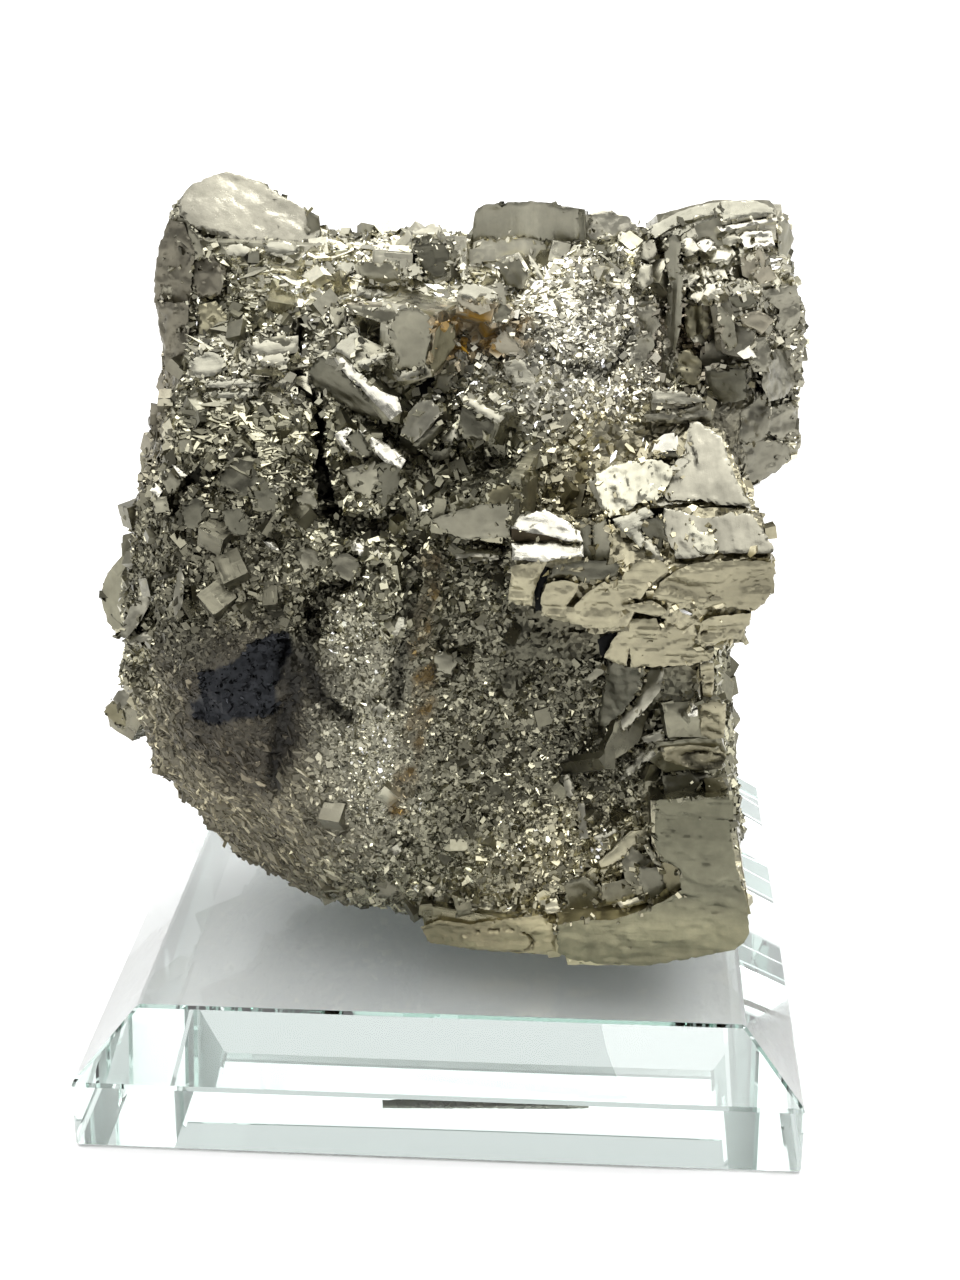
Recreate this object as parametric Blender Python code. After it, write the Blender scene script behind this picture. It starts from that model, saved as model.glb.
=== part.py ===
"""A pyrite-bearing mineral cluster on a square bevelled glass block.

Frame: metres, +Z up, the front of the cluster faces -Y, origin at the middle of the block's underside.
All lengths below are in millimetres and are turned into metres by MM.
"""

import math
import random

import bmesh
import bpy
from mathutils import Euler, Matrix, Vector, noise

MM = 0.001

# ---------------------------------------------------------------- driving dimensions
GLASS_SIDE = 100.0  # the block is square
GLASS_WALL = 10.0  # height of its upright edge
GLASS_BEVEL = 8.0  # 45 degree bevel above the edge, so the block is 18 mm thick
GLASS_ARRIS = 0.35  # small flat ground along every sharp edge
SHARP_ANGLE = 20.0  # an edge that turns more than this, in degrees, is sharp
SEAT_GAP = 0.3  # clearance under the cluster
SEAT = GLASS_WALL + GLASS_BEVEL + SEAT_GAP  # height of the cluster's lowest flat

CORE_VOXEL = 4.0  # facet size of the rough rock
CORE_KEEP = 0.72  # share of those facets that is kept
LUMP_SCALE = 9.0  # spacing and height of the lumps on the rough rock
LUMP_HEIGHT = 1.1
GRAIN_SCALE = 4.0
GRAIN_HEIGHT = 0.6

SEED = 11


def clear_scene():
    for old in list(bpy.data.objects):
        bpy.data.objects.remove(old)


def principled(name, colour, roughness, metallic, transmission=0.0, ior=1.5):
    material = bpy.data.materials.new(name)
    material.use_nodes = True
    shader = material.node_tree.nodes["Principled BSDF"]
    shader.inputs["Base Color"].default_value = (*colour, 1.0)
    shader.inputs["Roughness"].default_value = roughness
    shader.inputs["Metallic"].default_value = metallic
    shader.inputs["Transmission Weight"].default_value = transmission
    shader.inputs["IOR"].default_value = ior
    return material


def link_object(name, mesh):
    made = bpy.data.objects.new(name, mesh)
    bpy.context.scene.collection.objects.link(made)
    return made


def as_helper(helper):
    """A guide or cutter, which isn't part of the object."""
    helper.hide_render = True
    helper.display_type = "WIRE"
    return helper


def evaluated_mesh(source):
    """The object's mesh with its modifiers applied."""
    bpy.context.view_layer.update()
    graph = bpy.context.evaluated_depsgraph_get()
    return bpy.data.meshes.new_from_object(source.evaluated_get(graph))


# ---------------------------------------------------------------- glass block
def glass_block():
    """A square slab with 45 degree bevels round its top, and every sharp edge lightly ground."""
    half = GLASS_SIDE / 2
    top = half - GLASS_BEVEL
    levels = ((half, 0.0), (half, GLASS_WALL), (top, GLASS_WALL + GLASS_BEVEL))
    shape = bmesh.new()
    rings = []
    for reach, height in levels:
        corners = ((-reach, -reach), (reach, -reach), (reach, reach), (-reach, reach))
        rings.append([shape.verts.new(Vector((x, y, height)) * MM) for x, y in corners])
    shape.faces.new(reversed(rings[0]))
    shape.faces.new(rings[-1])
    for low, high in zip(rings, rings[1:]):
        for i in range(4):
            j = (i + 1) % 4
            shape.faces.new((low[i], low[j], high[j], high[i]))
    mesh = bpy.data.meshes.new("glass_base")
    shape.to_mesh(mesh)
    shape.free()
    block = link_object("glass_base", mesh)
    arris = block.modifiers.new("arris", "BEVEL")
    arris.width = GLASS_ARRIS * MM
    arris.segments = 1
    arris.limit_method = "ANGLE"
    arris.angle_limit = math.radians(SHARP_ANGLE)
    mesh.materials.append(principled("clear_glass", (0.93, 0.98, 0.96), 0.02, 0.0, 1.0, 1.52))
    return block


# ---------------------------------------------------------------- rough rock of the cluster
# Each mass is a convex lump given by its corners, level by level: height, then (x, y) corners.
TRUNK = (
    (SEAT, ((-14, -12), (10, -17), (36, -16), (39, 4), (33, 21), (4, 25), (-18, 18), (-24, 2))),
    (23, ((-27, -15), (-6, -22), (16, -26), (41, -26), (44, 2), (38, 24), (2, 29), (-28, 20), (-34, 2))),
    (36, ((-41, -15), (-20, -24), (38, -24), (39, 0), (38, 27), (0, 32), (-34, 24), (-45, 2))),
    (50, ((-48, -12), (-34, -22), (0, -20), (34, -22), (37, 0), (37, 28), (0, 33), (-38, 27), (-50, 4))),
    (68, ((-49, -8), (-38, -22), (0, -20), (34, -22), (38, 0), (38, 28), (0, 33), (-38, 29), (-49, 8))),
)
SHOULDERS = (
    (60, ((-48, -10), (-36, -23), (0, -20), (34, -20), (38, 27), (-38, 29))),
    (82, ((-45, -12), (-38, -22), (-22, -24), (2, -21), (34, -20), (42, 5), (38, 29), (-35, 30), (-46, 8))),
    (95, ((-39, -13), (-27, -17), (2, -14), (26, -14), (42, 5), (38, 28), (-33, 29), (-42, 6))),
    (106, ((-38, 0), (-26, -6), (0, -6), (22, -6), (30, 6), (34, 26), (-30, 26))),
    (114, ((-28, 4), (-8, 2), (14, 0), (26, 6), (26, 22), (-26, 22))),
)
LEFT_HORN = (
    (96, ((-41, -4), (-22, -8), (-20, 16), (-42, 12))),
    (110, ((-42, 0), (-20, -4), (-19, 15), (-42, 12))),
    (118, ((-38, 6), (-22, 5), (-22, 13), (-36, 13))),
)
TOP_LUMP = (
    (94, ((8, -16), (27, -14), (29, 4), (6, 4))),
    (106, ((10, -13), (26, -10), (28, 6), (8, 6))),
    (117, ((16, 0), (26, 0), (27, 12), (15, 12))),
)
RIGHT_BACK = (
    (82, ((36, 10), (46, 10), (48, 26), (34, 28))),
    (96, ((30, 4), (48, 6), (50, 26), (30, 28))),
    (110, ((29, 4), (46, 8), (49, 26), (28, 28))),
    (117, ((30, 10), (44, 12), (44, 22), (29, 22))),
)
FRONT_RIDGE = (
    (30, ((-24, -20), (-12, -26), (-8, -16))),
    (52, ((-18, -22), (-10, -27), (-4, -16))),
    (76, ((-14, -24), (-4, -28), (4, -20))),
)
MASSES = (TRUNK, SHOULDERS, LEFT_HORN, TOP_LUMP, RIGHT_BACK, FRONT_RIDGE)

# Broad hollows scooped out of the rough rock: centre, radii and turn about Y.
HOLLOWS = (
    ((12, -36, 52), (25, 15, 27), 8),
    ((34, -4, 101), (5, 12, 14), 0),
)


def hull_object(name, corners):
    shape = bmesh.new()
    for corner in corners:
        shape.verts.new(Vector(corner) * MM)
    found = bmesh.ops.convex_hull(shape, input=shape.verts)
    spare = {v for v in found["geom_interior"] + found["geom_unused"] if isinstance(v, bmesh.types.BMVert)}
    bmesh.ops.delete(shape, geom=list(spare), context="VERTS")
    bmesh.ops.recalc_face_normals(shape, faces=shape.faces)
    mesh = bpy.data.meshes.new(name)
    shape.to_mesh(mesh)
    shape.free()
    return as_helper(link_object(name, mesh))


def ellipsoid_object(name, centre, radii, turn_y):
    shape = bmesh.new()
    bmesh.ops.create_icosphere(shape, subdivisions=4, radius=1.0)
    turned = Euler((0, math.radians(turn_y), 0)).to_matrix().to_4x4()
    stretched = Matrix.Diagonal((*(radius * MM for radius in radii), 1.0))
    placed = Matrix.Translation(Vector(centre) * MM) @ turned @ stretched
    bmesh.ops.transform(shape, matrix=placed, verts=shape.verts)
    mesh = bpy.data.meshes.new(name)
    shape.to_mesh(mesh)
    shape.free()
    return as_helper(link_object(name, mesh))


def boolean(target, other, operation, itself=False):
    step = target.modifiers.new(f"{operation.lower()}_{other.name}", "BOOLEAN")
    step.operation = operation
    step.object = other
    step.use_self = itself
    return step


def rough_core():
    """The lumps joined, scooped, and roughened into one faceted rock."""
    lumps = []
    for number, levels in enumerate(MASSES):
        corners = [(x, y, height) for height, ring in levels for x, y in ring]
        lumps.append(hull_object(f"mass_{number}", corners))
    joined = link_object("core", lumps[0].data.copy())
    for lump in lumps[1:]:
        boolean(joined, lump, "UNION")
    for number, (centre, radii, turn) in enumerate(HOLLOWS):
        boolean(joined, ellipsoid_object(f"hollow_{number}", centre, radii, turn), "DIFFERENCE")
    remesh = joined.modifiers.new("facets", "REMESH")
    remesh.mode = "VOXEL"
    remesh.voxel_size = CORE_VOXEL * MM
    fewer = joined.modifiers.new("fewer", "DECIMATE")
    fewer.ratio = CORE_KEEP
    mesh = evaluated_mesh(joined)
    bpy.data.objects.remove(joined)
    noise.seed_set(SEED)  # noise_vector is seeded by the clock otherwise
    for vertex in mesh.vertices:
        place = vertex.co / MM
        lumpy = noise.noise_vector(place / LUMP_SCALE) * LUMP_HEIGHT
        grainy = noise.noise_vector(place / GRAIN_SCALE) * GRAIN_HEIGHT
        place += lumpy + grainy
        place.z = max(place.z, SEAT)
        vertex.co = place * MM
    return link_object("mineral_cluster", mesh)


# ---------------------------------------------------------------- crystals
# Each slab is a flat crystal face and the block behind it: a point on the face (x, y, z), the angle in
# degrees that the face leans back, the angle that it is turned to the right, the depth behind it, and the
# outline of the face as (across, up) from that point.
SLABS = {
    # lower right: the corner block and the ledges above it
    "corner_column": ((35.5, -29, 36.5), 2, 4, 26,
                      ((-7, 9), (4.5, 9.5), (5, -1.5), (7.5, -7), (6.5, -13.5), (-0.5, -15), (-6, -11))),
    "corner_foot": ((29, -31, 24.5), -6, 2, 30,
                    ((-13, 1.5), (5.5, 4.5), (13.5, 6.5), (13, -0.5), (0, -4.5), (-11.5, -4.5))),
    "foot_strip": ((6, -27, 23), 0, -4, 26,
                  ((-10, 3.5), (9.5, 1.5), (10.5, -3.5), (-2.5, -3.5), (-9, -2.5))),
    "ledge_low": ((34, -25, 50.5), 0, 6, 24, ((-6, 2), (4, 3), (5, 0.5), (4, -2), (-3.5, -2.5), (-7, 0))),
    "ledge_mid": ((35, -25.5, 56.5), 8, 12, 22, ((-5.5, 2.5), (3, 2.5), (3.5, -0.5), (3, -3), (-4.5, -2.5))),
    "ledge_high": ((32.5, -25, 61.5), 4, 8, 22, ((-5.5, 2), (3, 3.5), (4, 1), (4, -2.5), (-4, -3))),
    "ledge_back": ((35, -20, 64.5), 10, 14, 22, ((-4, 1.5), (1.5, 1), (2, -2), (-1.5, -2.5))),
    "scoop": ((27, -24, 55.5), 26, 34, 12, ((1.5, 7), (2.5, 2), (-1, -3), (-7.5, -5.5), (-7, -3), (-2, 3))),
    "low_flake": ((17.5, -22, 43.5), -4, 26, 5, ((-1.5, 2.5), (0.5, 1), (2, -3), (1.5, -6), (-1, -1.5))),
    # right middle: the broken brassy mass that overhangs the hollow
    "brass_roof": ((32.5, -24, 90), 52, -6, 9,
                   ((-12, -0.5), (-7, 2.5), (-1, 10), (3.5, 9), (7, 0.5), (8, -3.5), (-2.5, -4), (-9.5, -6))),
    "brass_lip": ((35.5, -31, 84), 46, -4, 9,
                  ((-6, 4), (4.5, 4.5), (8, -1), (7, -2.5), (-5, -4), (-7.5, 0.5))),
    "brass_right": ((35, -33, 76.5), -8, 6, 24,
                    ((-5.5, 5), (8.5, 6.5), (8.5, 1.5), (6, -2), (5, -6), (-0.5, -8.5), (-9.5, 0.5))),
    "brass_low": ((30, -31, 71), -10, -4, 24,
                  ((-6.5, 3), (4, 5.5), (10, -0.5), (3, -4.5), (-5, -5.5), (-8.5, -2.5))),
    "brass_left": ((19.5, -33, 76), -4, -8, 22,
                  ((-7, 3.5), (-2, 5.5), (7.5, 2), (5.5, -4), (0, -5), (-6, -1))),
    "brass_end": ((11.5, -32, 79), -2, -14, 20, ((-2.5, 4), (2.5, 3), (2.5, -4), (-2.5, -2.5))),
    "bright_step": ((13.5, -31.5, 84), 30, -8, 12,
                    ((-4.5, 3.5), (1.5, 4), (5.5, 1.5), (5.5, -4.5), (0.5, -4), (-4.5, -1.5))),
    "second_step": ((24.5, -31, 82), 38, 0, 12,
                  ((-5.5, 4.5), (1.5, 4.5), (5.5, -1.5), (1.5, -5), (-5, -2.5))),
    "shoulder_slab": ((32, -13, 97.5), 24, 6, 12, ((-5, 1), (2, 1.5), (3.5, -0.5), (2.5, -3.5), (-4.5, -2))),
    "bright_nick": ((29.5, -17, 93.5), 30, 8, 9, ((-2, 1), (1.5, 1.5), (1.5, -1.5), (-2.5, -2.5))),
    # middle
    "cairn": ((-6, -29, 75.5), 4, 24, 14, ((-2.5, 6), (3, 4.5), (4, -2), (3.5, -7.5), (-1, -8), (-3.5, -1))),
    "dark_cube": ((4.5, -28, 86), -2, -10, 16, ((-6, 2), (6, 5.5), (6, -3), (3.5, -4), (-6.5, -3))),
    "fluted_cube": ((-5.5, -14, 105.5), 4, -16, 12,
                    ((-4, 5.5), (4, 4.5), (4, -4), (-1, -6), (-5, -4), (-4.5, 1.5))),
    "long_edge": ((-10, -17, 100.5), 20, -30, 9, ((-8, 3.5), (-6.5, 4.5), (5, -3), (5, -4.5), (2, -4.5))),
    "framed_cube": ((-12, -15, 104.5), 40, 10, 8, ((-4, 0), (-1, 3), (3.5, 0.5), (2.5, -2), (-1.5, -3.5))),
    "tilted_cube": ((-3.5, -20, 96.5), 34, 10, 9, ((-3, -2), (0.5, 3), (3, 1.5), (-0.5, -3.5))),
    "rim_cube": ((4, -19, 96.5), 20, -24, 9, ((-3, -2), (-1.5, 2.5), (4, 1.5), (2.5, -3))),
    "spur": ((-8, -20, 89.5), -4, 20, 11, ((-2.5, 5.5), (2, 1), (2, -5.5), (0, -7.5), (-2, -6), (-3, 0))),
    "spur_cap": ((-14, -20, 93.5), 40, -10, 8, ((-1.5, 0.5), (0.5, 2), (4, 0.5), (3, -2.5), (1, -2))),
    "pale_cube": ((3, -11, 111), 26, -6, 7,
                  ((-2.5, 1), (-1, 2), (2.5, 1.5), (3, -0.5), (2.5, -3), (-2.5, -2))),
    "low_pale": ((6.5, -11, 108.5), 30, 18, 6, ((-2, 0.5), (1.5, 2), (2, 0), (-1.5, -1.5))),
    "upper_chip": ((7.5, -12, 105), 30, -8, 7, ((-2.5, -1), (-0.5, 2), (2.5, 0.5), (1.5, -1.5))),
    "lower_chip": ((9.5, -13, 101.5), 36, 0, 7, ((-2.5, 0.5), (0, 2), (2, 1), (1, -1.5), (-1.5, -1.5))),
    # left
    "ledge_crystal": ((-24.5, -14, 104.5), 36, -4, 8, ((-3.5, 1.5), (3, 2), (4, -2), (-2.5, -3))),
    "grey_cube": ((-24, -27, 87.5), 10, -12, 9, ((-1.5, 1.5), (1.5, 1.5), (2, -2), (-1.5, -2))),
    "left_cube": ((-38.5, -18, 86.5), 20, -30, 10, ((-2, 1.5), (1, 2.5), (2.5, -1.5), (-0.5, -2.5))),
    "left_cube_low": ((-41.5, -16, 82.5), 0, -30, 9, ((-2.5, 1.5), (2.5, 2), (2.5, -1), (-2.5, -2))),
    "left_lobe": ((-53, 2, 63), 0, -30, 12,
                  ((4.5, 8), (-1, 2.5), (-2.5, -1.5), (-1.5, -5.5), (1, -7), (4, -0.5))),
    "left_corner": ((-51.5, -2, 45.5), 6, -34, 12, ((3.5, 5.5), (-4, -1), (-3, -4), (2, -5), (5, 0))),
    # top: the horn on the left, the fluted block in the middle and the crown on the right
    "horn_face": ((-31, 6, 119), 48, 8, 14,
                  ((-10.5, -5.5), (-9.5, 3), (-2.5, 8), (2.5, 6), (8, 1.5), (11, -2.5),
                   (11, -6.5), (-0.5, -8))),
    "horn_body": ((-31, -3, 108.5), 6, -4, 16,
                  ((-11, -13), (-11.5, 1.5), (-9, 8.5), (12, 8), (12, -5), (9, -13.5))),
    "top_block": ((10, 2, 118), 11, -2, 12,
                  ((-8.5, -4.5), (-8, -1), (-7.5, 3), (-4.5, 3.5), (4, 3.5), (7.5, 3), (8, -4))),
    "top_side": ((-1, -1, 114), 10, 14, 10, ((-2.5, 4), (2.5, 3.5), (2.5, -4), (-0.5, -5), (-2.5, -2.5))),
    "top_cube": ((7.5, -3, 113.5), 16, -10, 8, ((-2, 1.5), (1, 2.5), (3, -0.5), (2, -2.5), (-1, -1.5))),
    "saddle_cube": ((-8.5, -3, 114.5), 10, 8, 9, ((-3, 1.5), (2.5, 1), (2.5, -2.5), (-3, -3))),
    "top_chip": ((-4, 0, 118), 20, 0, 8,
                  ((-2.5, -0.5), (0, 1), (1.5, 1), (2.5, -1), (1.5, -2.5), (-2.5, -2.5))),
    "crown": ((36.5, 5, 118.5), 14, 4, 18,
                  ((-9, 1.5), (-1, 3.5), (7, 3.5), (8, 2), (8, -2), (-3, -3.5), (-8.5, -2))),
    "crown_lobe": ((46.5, 14, 115), 6, 20, 12, ((-2.5, 5), (0.5, 3.5), (1.5, 0), (0, -3), (-2.5, -3))),
    "crown_cube": ((38, 0, 109), 24, -20, 10, ((-3, 2), (1, 3), (4, -0.5), (4.5, -8), (0, -7.5))),
    "flank_step": ((38, 0, 97), 10, -10, 10, ((-3.5, 2), (3.5, 3), (4.5, -2.5), (2.5, -4), (-2.5, -2.5))),
    "flank_cube": ((37, 1, 105), 6, -24, 10, ((-2, 3), (1.5, 4), (3, -3), (-0.5, -3.5))),
    "flank_small": ((39.5, -1, 109), 16, -14, 7, ((-2, 1), (1.5, 2), (2, -0.5), (-1, -1.5))),
    "flank_light": ((42, 3, 113), 24, 20, 8, ((-2, 1.5), (1, 2.5), (2.5, -2.5), (-1, -3))),
    "right_flank": ((43, 5, 99.5), 4, 16, 22,
                    ((-4, 15.5), (3.5, 14.5), (6.5, 8), (7, 2.5), (6.5, -6.5), (7, -12), (6, -15), (0, -19),
                     (-3.5, -11.5), (-9, -4.5), (-9, 9))),
}

# Square-faced blocks on the back and the sides: middle (x, y, z), size (x, y, z), turn about X, Y, Z.
BACK_BLOCKS = (
    ((-24, 25, 88), (18, 14, 17), (22, 14, 28)),
    ((-35, 22, 70), (15, 14, 14), (-16, 30, -30)),
    ((-15, 26, 67), (14, 13, 15), (28, -22, 14)),
    ((-3, 25, 84), (12, 13, 11), (18, 36, -32)),
    ((10, 24, 98), (15, 14, 14), (-24, 20, -18)),
    ((26, 24, 86), (18, 15, 19), (16, 8, -26)),
    ((12, 27, 74), (10, 11, 11), (34, 24, 20)),
    ((31, 22, 64), (14, 14, 13), (-20, 28, 24)),
    ((6, 25, 54), (20, 15, 17), (20, 6, 18)),
    ((-22, 24, 46), (17, 15, 15), (-22, 18, -24)),
    ((-37, 20, 50), (11, 13, 11), (30, 16, 34)),
    ((26, 23, 42), (15, 14, 14), (26, -10, -16)),
    ((10, 22, 33), (15, 14, 12), (-18, -14, 26)),
    ((-8, 24, 30), (11, 12, 10), (24, 30, -20)),
    ((32, 8, 76), (12, 14, 13), (12, -28, 16)),
    ((33, 9, 42), (12, 14, 13), (16, 24, 22)),
    ((-42, 15, 78), (11, 13, 12), (24, 20, -22)),
    ((-39, 13, 38), (10, 12, 11), (30, 16, 20)),
    ((-8, 17, 106), (13, 12, 10), (-16, 20, 34)),
)

# Where small cubes stud the rock: low corner, high corner, number, shortest and longest side, common turn.
CUBE_FIELDS = {
    "left_front": ((-50, -40, 66), (-18, 0, 100), 22, (2.4, 4.0), (20, 10, -20)),
    "left_side": ((-60, 0, 30), (-38, 30, 105), 8, (2.4, 3.8), (10, 20, 15)),
    "back": ((-50, 10, 22), (46, 40, 112), 26, (3.2, 6.0), (12, -8, 20)),
    "top": ((-20, -10, 104), (30, 25, 125), 10, (2.6, 4.5), (5, 14, 30)),
    "right_side": ((36, 4, 74), (52, 30, 105), 8, (2.4, 3.6), (-10, 8, 12)),
    "front_low": ((-18, -40, 24), (30, -10, 60), 8, (2.0, 3.2), (15, 30, 10)),
}
FIELD_SPREAD = 35.0  # how far a cube turns from its field's common turn, in degrees
CUBE_STRETCH = (0.8, 1.2)  # each side of a cube, over its nominal side
UNDERSIDE = -0.5  # rock facing down more than this carries no cubes

# Open cracks: depth of the rock's face there, how wide and deep, and the line as (x, height).
CRACKS = {
    "long_crack": (-19, 1.5, 8, ((-20, 108), (-20, 101), (-17.5, 95.5), (-17.5, 89), (-16, 83))),
    "left_crack": (-19, 1.6, 6, ((-33, 91), (-37, 87), (-38.5, 82))),
}
CRACK_REACH = 12.0  # how far in front of the face the cutter starts
CRACK_TIP = 0.35  # share of its width that a crack keeps at its two ends


def add_slab(shape, point, lean, turn, depth, outline):
    """A crystal with a flat front of this outline, added to a bmesh."""
    across = Vector((math.cos(math.radians(turn)), math.sin(math.radians(turn)), 0))
    level_normal = Vector((across.y, -across.x, 0))
    tilt = math.radians(lean)
    up = Vector((0, 0, math.cos(tilt))) - level_normal * math.sin(tilt)
    inward = up.cross(across)
    front = [Vector(point) + across * u + up * v for u, v in outline]
    back = [corner + inward * depth for corner in front]
    for ring in (front, back):
        ring[:] = [shape.verts.new(corner * MM) for corner in ring]
    made = [shape.faces.new(front), shape.faces.new(reversed(back))]
    for i in range(len(front)):
        j = (i + 1) % len(front)
        made.append(shape.faces.new((front[j], front[i], back[i], back[j])))
    bmesh.ops.recalc_face_normals(shape, faces=made)


def add_block(shape, middle, size, turn):
    """One square-faced crystal, added to a bmesh."""
    turned = Euler([math.radians(angle) for angle in turn]).to_matrix().to_4x4()
    placed = Matrix.Translation(Vector(middle) * MM) @ turned
    scaled = placed @ Matrix.Diagonal((*(side * MM for side in size), 1.0))
    bmesh.ops.create_cube(shape, size=1.0, matrix=scaled)


def add_cube_fields(shape, rock, dice):
    """Seeded cubes half sunk in the rock."""
    for low, high, count, sides, common in CUBE_FIELDS.values():
        inside = [
            face for face in rock.data.polygons
            if all(a <= c / MM <= b for a, c, b in zip(low, face.center, high)) and face.normal.z > UNDERSIDE
        ]
        for face in dice.choices(inside, [face.area for face in inside], k=count):
            side = dice.uniform(*sides)
            turn = [angle + dice.uniform(-FIELD_SPREAD, FIELD_SPREAD) for angle in common]
            size = [side * dice.uniform(*CUBE_STRETCH) for _ in range(3)]
            add_block(shape, face.center / MM, size, turn)


def crack_cutter(name, face_y, width, depth, line):
    """A wedge that follows the line, wide in front and closing to an edge inside the rock."""
    shape = bmesh.new()
    sections = []
    for i, (x, height) in enumerate(line):
        before, after = line[max(i - 1, 0)], line[min(i + 1, len(line) - 1)]
        along = Vector((after[0] - before[0], after[1] - before[1])).normalized()
        open_width = width * (1 + CRACK_REACH / depth) * (CRACK_TIP if i in (0, len(line) - 1) else 1.0)
        side = Vector((along.y, 0, -along.x)) * open_width / 2
        front = Vector((x, face_y - CRACK_REACH, height))
        section = (front - side, front + side, Vector((x, face_y + depth, height)))
        sections.append([shape.verts.new(corner * MM) for corner in section])
    for one, two in zip(sections, sections[1:]):
        for i in range(3):
            j = (i + 1) % 3
            shape.faces.new((one[i], one[j], two[j], two[i]))
    shape.faces.new(sections[0])
    shape.faces.new(reversed(sections[-1]))
    bmesh.ops.recalc_face_normals(shape, faces=shape.faces)
    mesh = bpy.data.meshes.new(name)
    shape.to_mesh(mesh)
    shape.free()
    return as_helper(link_object(name, mesh))


def outer_shell(joined):
    """The largest closed shell of a joined solid, without the small pockets that crystals shut in."""
    shape = bmesh.new()
    shape.from_mesh(evaluated_mesh(joined))
    waiting = set(shape.verts)
    shells = []
    while waiting:
        shell, edge_of_shell = set(), [waiting.pop()]
        while edge_of_shell:
            vertex = edge_of_shell.pop()
            shell.add(vertex)
            near = {edge.other_vert(vertex) for edge in vertex.link_edges} & waiting
            waiting -= near
            edge_of_shell.extend(near)
        shells.append(shell)
    largest = max(shells, key=len)
    bmesh.ops.delete(shape, geom=[v for v in shape.verts if v not in largest], context="VERTS")
    mesh = bpy.data.meshes.new(joined.name)
    shape.to_mesh(mesh)
    shape.free()
    return mesh


def mineral_cluster():
    """The rough rock with its crystals joined on and its cracks cut."""
    rock = rough_core()
    shape = bmesh.new()
    for slab in SLABS.values():
        add_slab(shape, *slab)
    for block in BACK_BLOCKS:
        add_block(shape, *block)
    add_cube_fields(shape, rock, random.Random(SEED))
    mesh = bpy.data.meshes.new("crystals")
    shape.to_mesh(mesh)
    shape.free()
    boolean(rock, as_helper(link_object("crystals", mesh)), "UNION", itself=True)
    for name, crack in CRACKS.items():
        boolean(rock, crack_cutter(name, *crack), "DIFFERENCE")
    rock.data = outer_shell(rock)
    rock.modifiers.clear()
    rock.data.materials.append(principled("pyrite", (0.42, 0.39, 0.30), 0.38, 0.9))
    return rock


clear_scene()
glass_block()
mineral_cluster()
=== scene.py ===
"""The dressed specimen: a metallic sulphide cluster on its bevelled glass block.

Lengths are in millimetres in the tables and in metres once they reach a mesh. +Z is up, the front faces -Y.
"""

from collections import namedtuple
import itertools
import math

import bmesh
import bpy
import numpy as np
from mathutils import Matrix, Vector
from mathutils.bvhtree import BVHTree
from mathutils.geometry import delaunay_2d_cdt


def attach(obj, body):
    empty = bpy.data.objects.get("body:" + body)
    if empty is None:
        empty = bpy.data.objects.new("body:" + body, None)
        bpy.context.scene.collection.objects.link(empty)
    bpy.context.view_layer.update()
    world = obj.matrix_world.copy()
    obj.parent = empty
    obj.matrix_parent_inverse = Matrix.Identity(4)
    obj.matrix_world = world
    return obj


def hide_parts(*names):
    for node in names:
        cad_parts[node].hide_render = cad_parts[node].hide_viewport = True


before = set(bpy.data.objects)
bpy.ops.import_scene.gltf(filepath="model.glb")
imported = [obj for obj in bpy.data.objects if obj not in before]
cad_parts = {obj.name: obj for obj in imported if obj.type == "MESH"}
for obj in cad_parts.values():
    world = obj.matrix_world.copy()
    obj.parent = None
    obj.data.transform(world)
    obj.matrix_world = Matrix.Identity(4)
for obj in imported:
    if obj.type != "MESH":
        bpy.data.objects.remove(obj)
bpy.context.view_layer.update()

MM = 0.001
SEAT = 18.3  # height of the flat that the cluster stands on
SOFT = 0.3  # width of the edge of a region, as a share of its size
PLAIN_WAVES = 0.35  # strength of the slow waves in a finish that names none

# ---------------------------------------------------------------- noise


def hashed(cells, salt):
    """A number from 0 to 1 for each integer cell (..., 3)."""
    x, y, z = (cells[..., i].astype(np.uint32) for i in range(3))
    mixed = x * np.uint32(374761393) + y * np.uint32(668265263) + z * np.uint32(2246822519)
    mixed = mixed + np.uint32((salt * 3266489917) % 4294967296)
    mixed = (mixed ^ (mixed >> np.uint32(15))) * np.uint32(2654435761)
    mixed = (mixed ^ (mixed >> np.uint32(13))) * np.uint32(1274126177)
    mixed = mixed ^ (mixed >> np.uint32(16))
    return (mixed & np.uint32(0xFFFFFF)) / float(0xFFFFFF)


def soft_noise(points, scale, salt=0):
    """Smooth noise from -1 to 1 with features of about this size."""
    place = points / scale
    base = np.floor(place).astype(np.int64)
    part = place - base
    part = part * part * (3 - 2 * part)
    total = np.zeros(len(points))
    for corner in itertools.product((0, 1), repeat=3):
        share = np.prod(np.where(corner, part, 1 - part), axis=1)
        total += share * hashed(base + np.array(corner), salt)
    return total * 2 - 1


def rough_noise(points, scale, octaves=3, salt=0):
    """Smooth noise with finer noise on it."""
    total = np.zeros(len(points))
    for octave in range(octaves):
        total += soft_noise(points, scale / 2**octave, salt + 17 * octave) / 1.8**octave
    return total


def cell_noise(points, scale, salt=0):
    """Distance to the nearest seed, and a number for its cell."""
    place = points / scale
    base = np.floor(place).astype(np.int64)
    nearest = np.full(len(points), 9.0)
    owner = np.zeros(len(points))
    for step in itertools.product((-1, 0, 1), repeat=3):
        cell = base + np.array(step)
        seed = np.stack([hashed(cell, salt + k) for k in (1, 2, 3)], axis=1)
        gap = np.linalg.norm(place - cell - seed, axis=1)
        closer = gap < nearest
        owner = np.where(closer, hashed(cell, salt + 4), owner)
        nearest = np.where(closer, gap, nearest)
    return nearest, owner


def blob(points, centre, radii, edge=0.35):
    """1 inside an ellipsoid, 0 outside, with a soft edge."""
    gap = np.linalg.norm((points - np.array(centre)) / np.array(radii), axis=1)
    return np.clip((1 + edge - gap) / (2 * edge), 0, 1)


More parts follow.
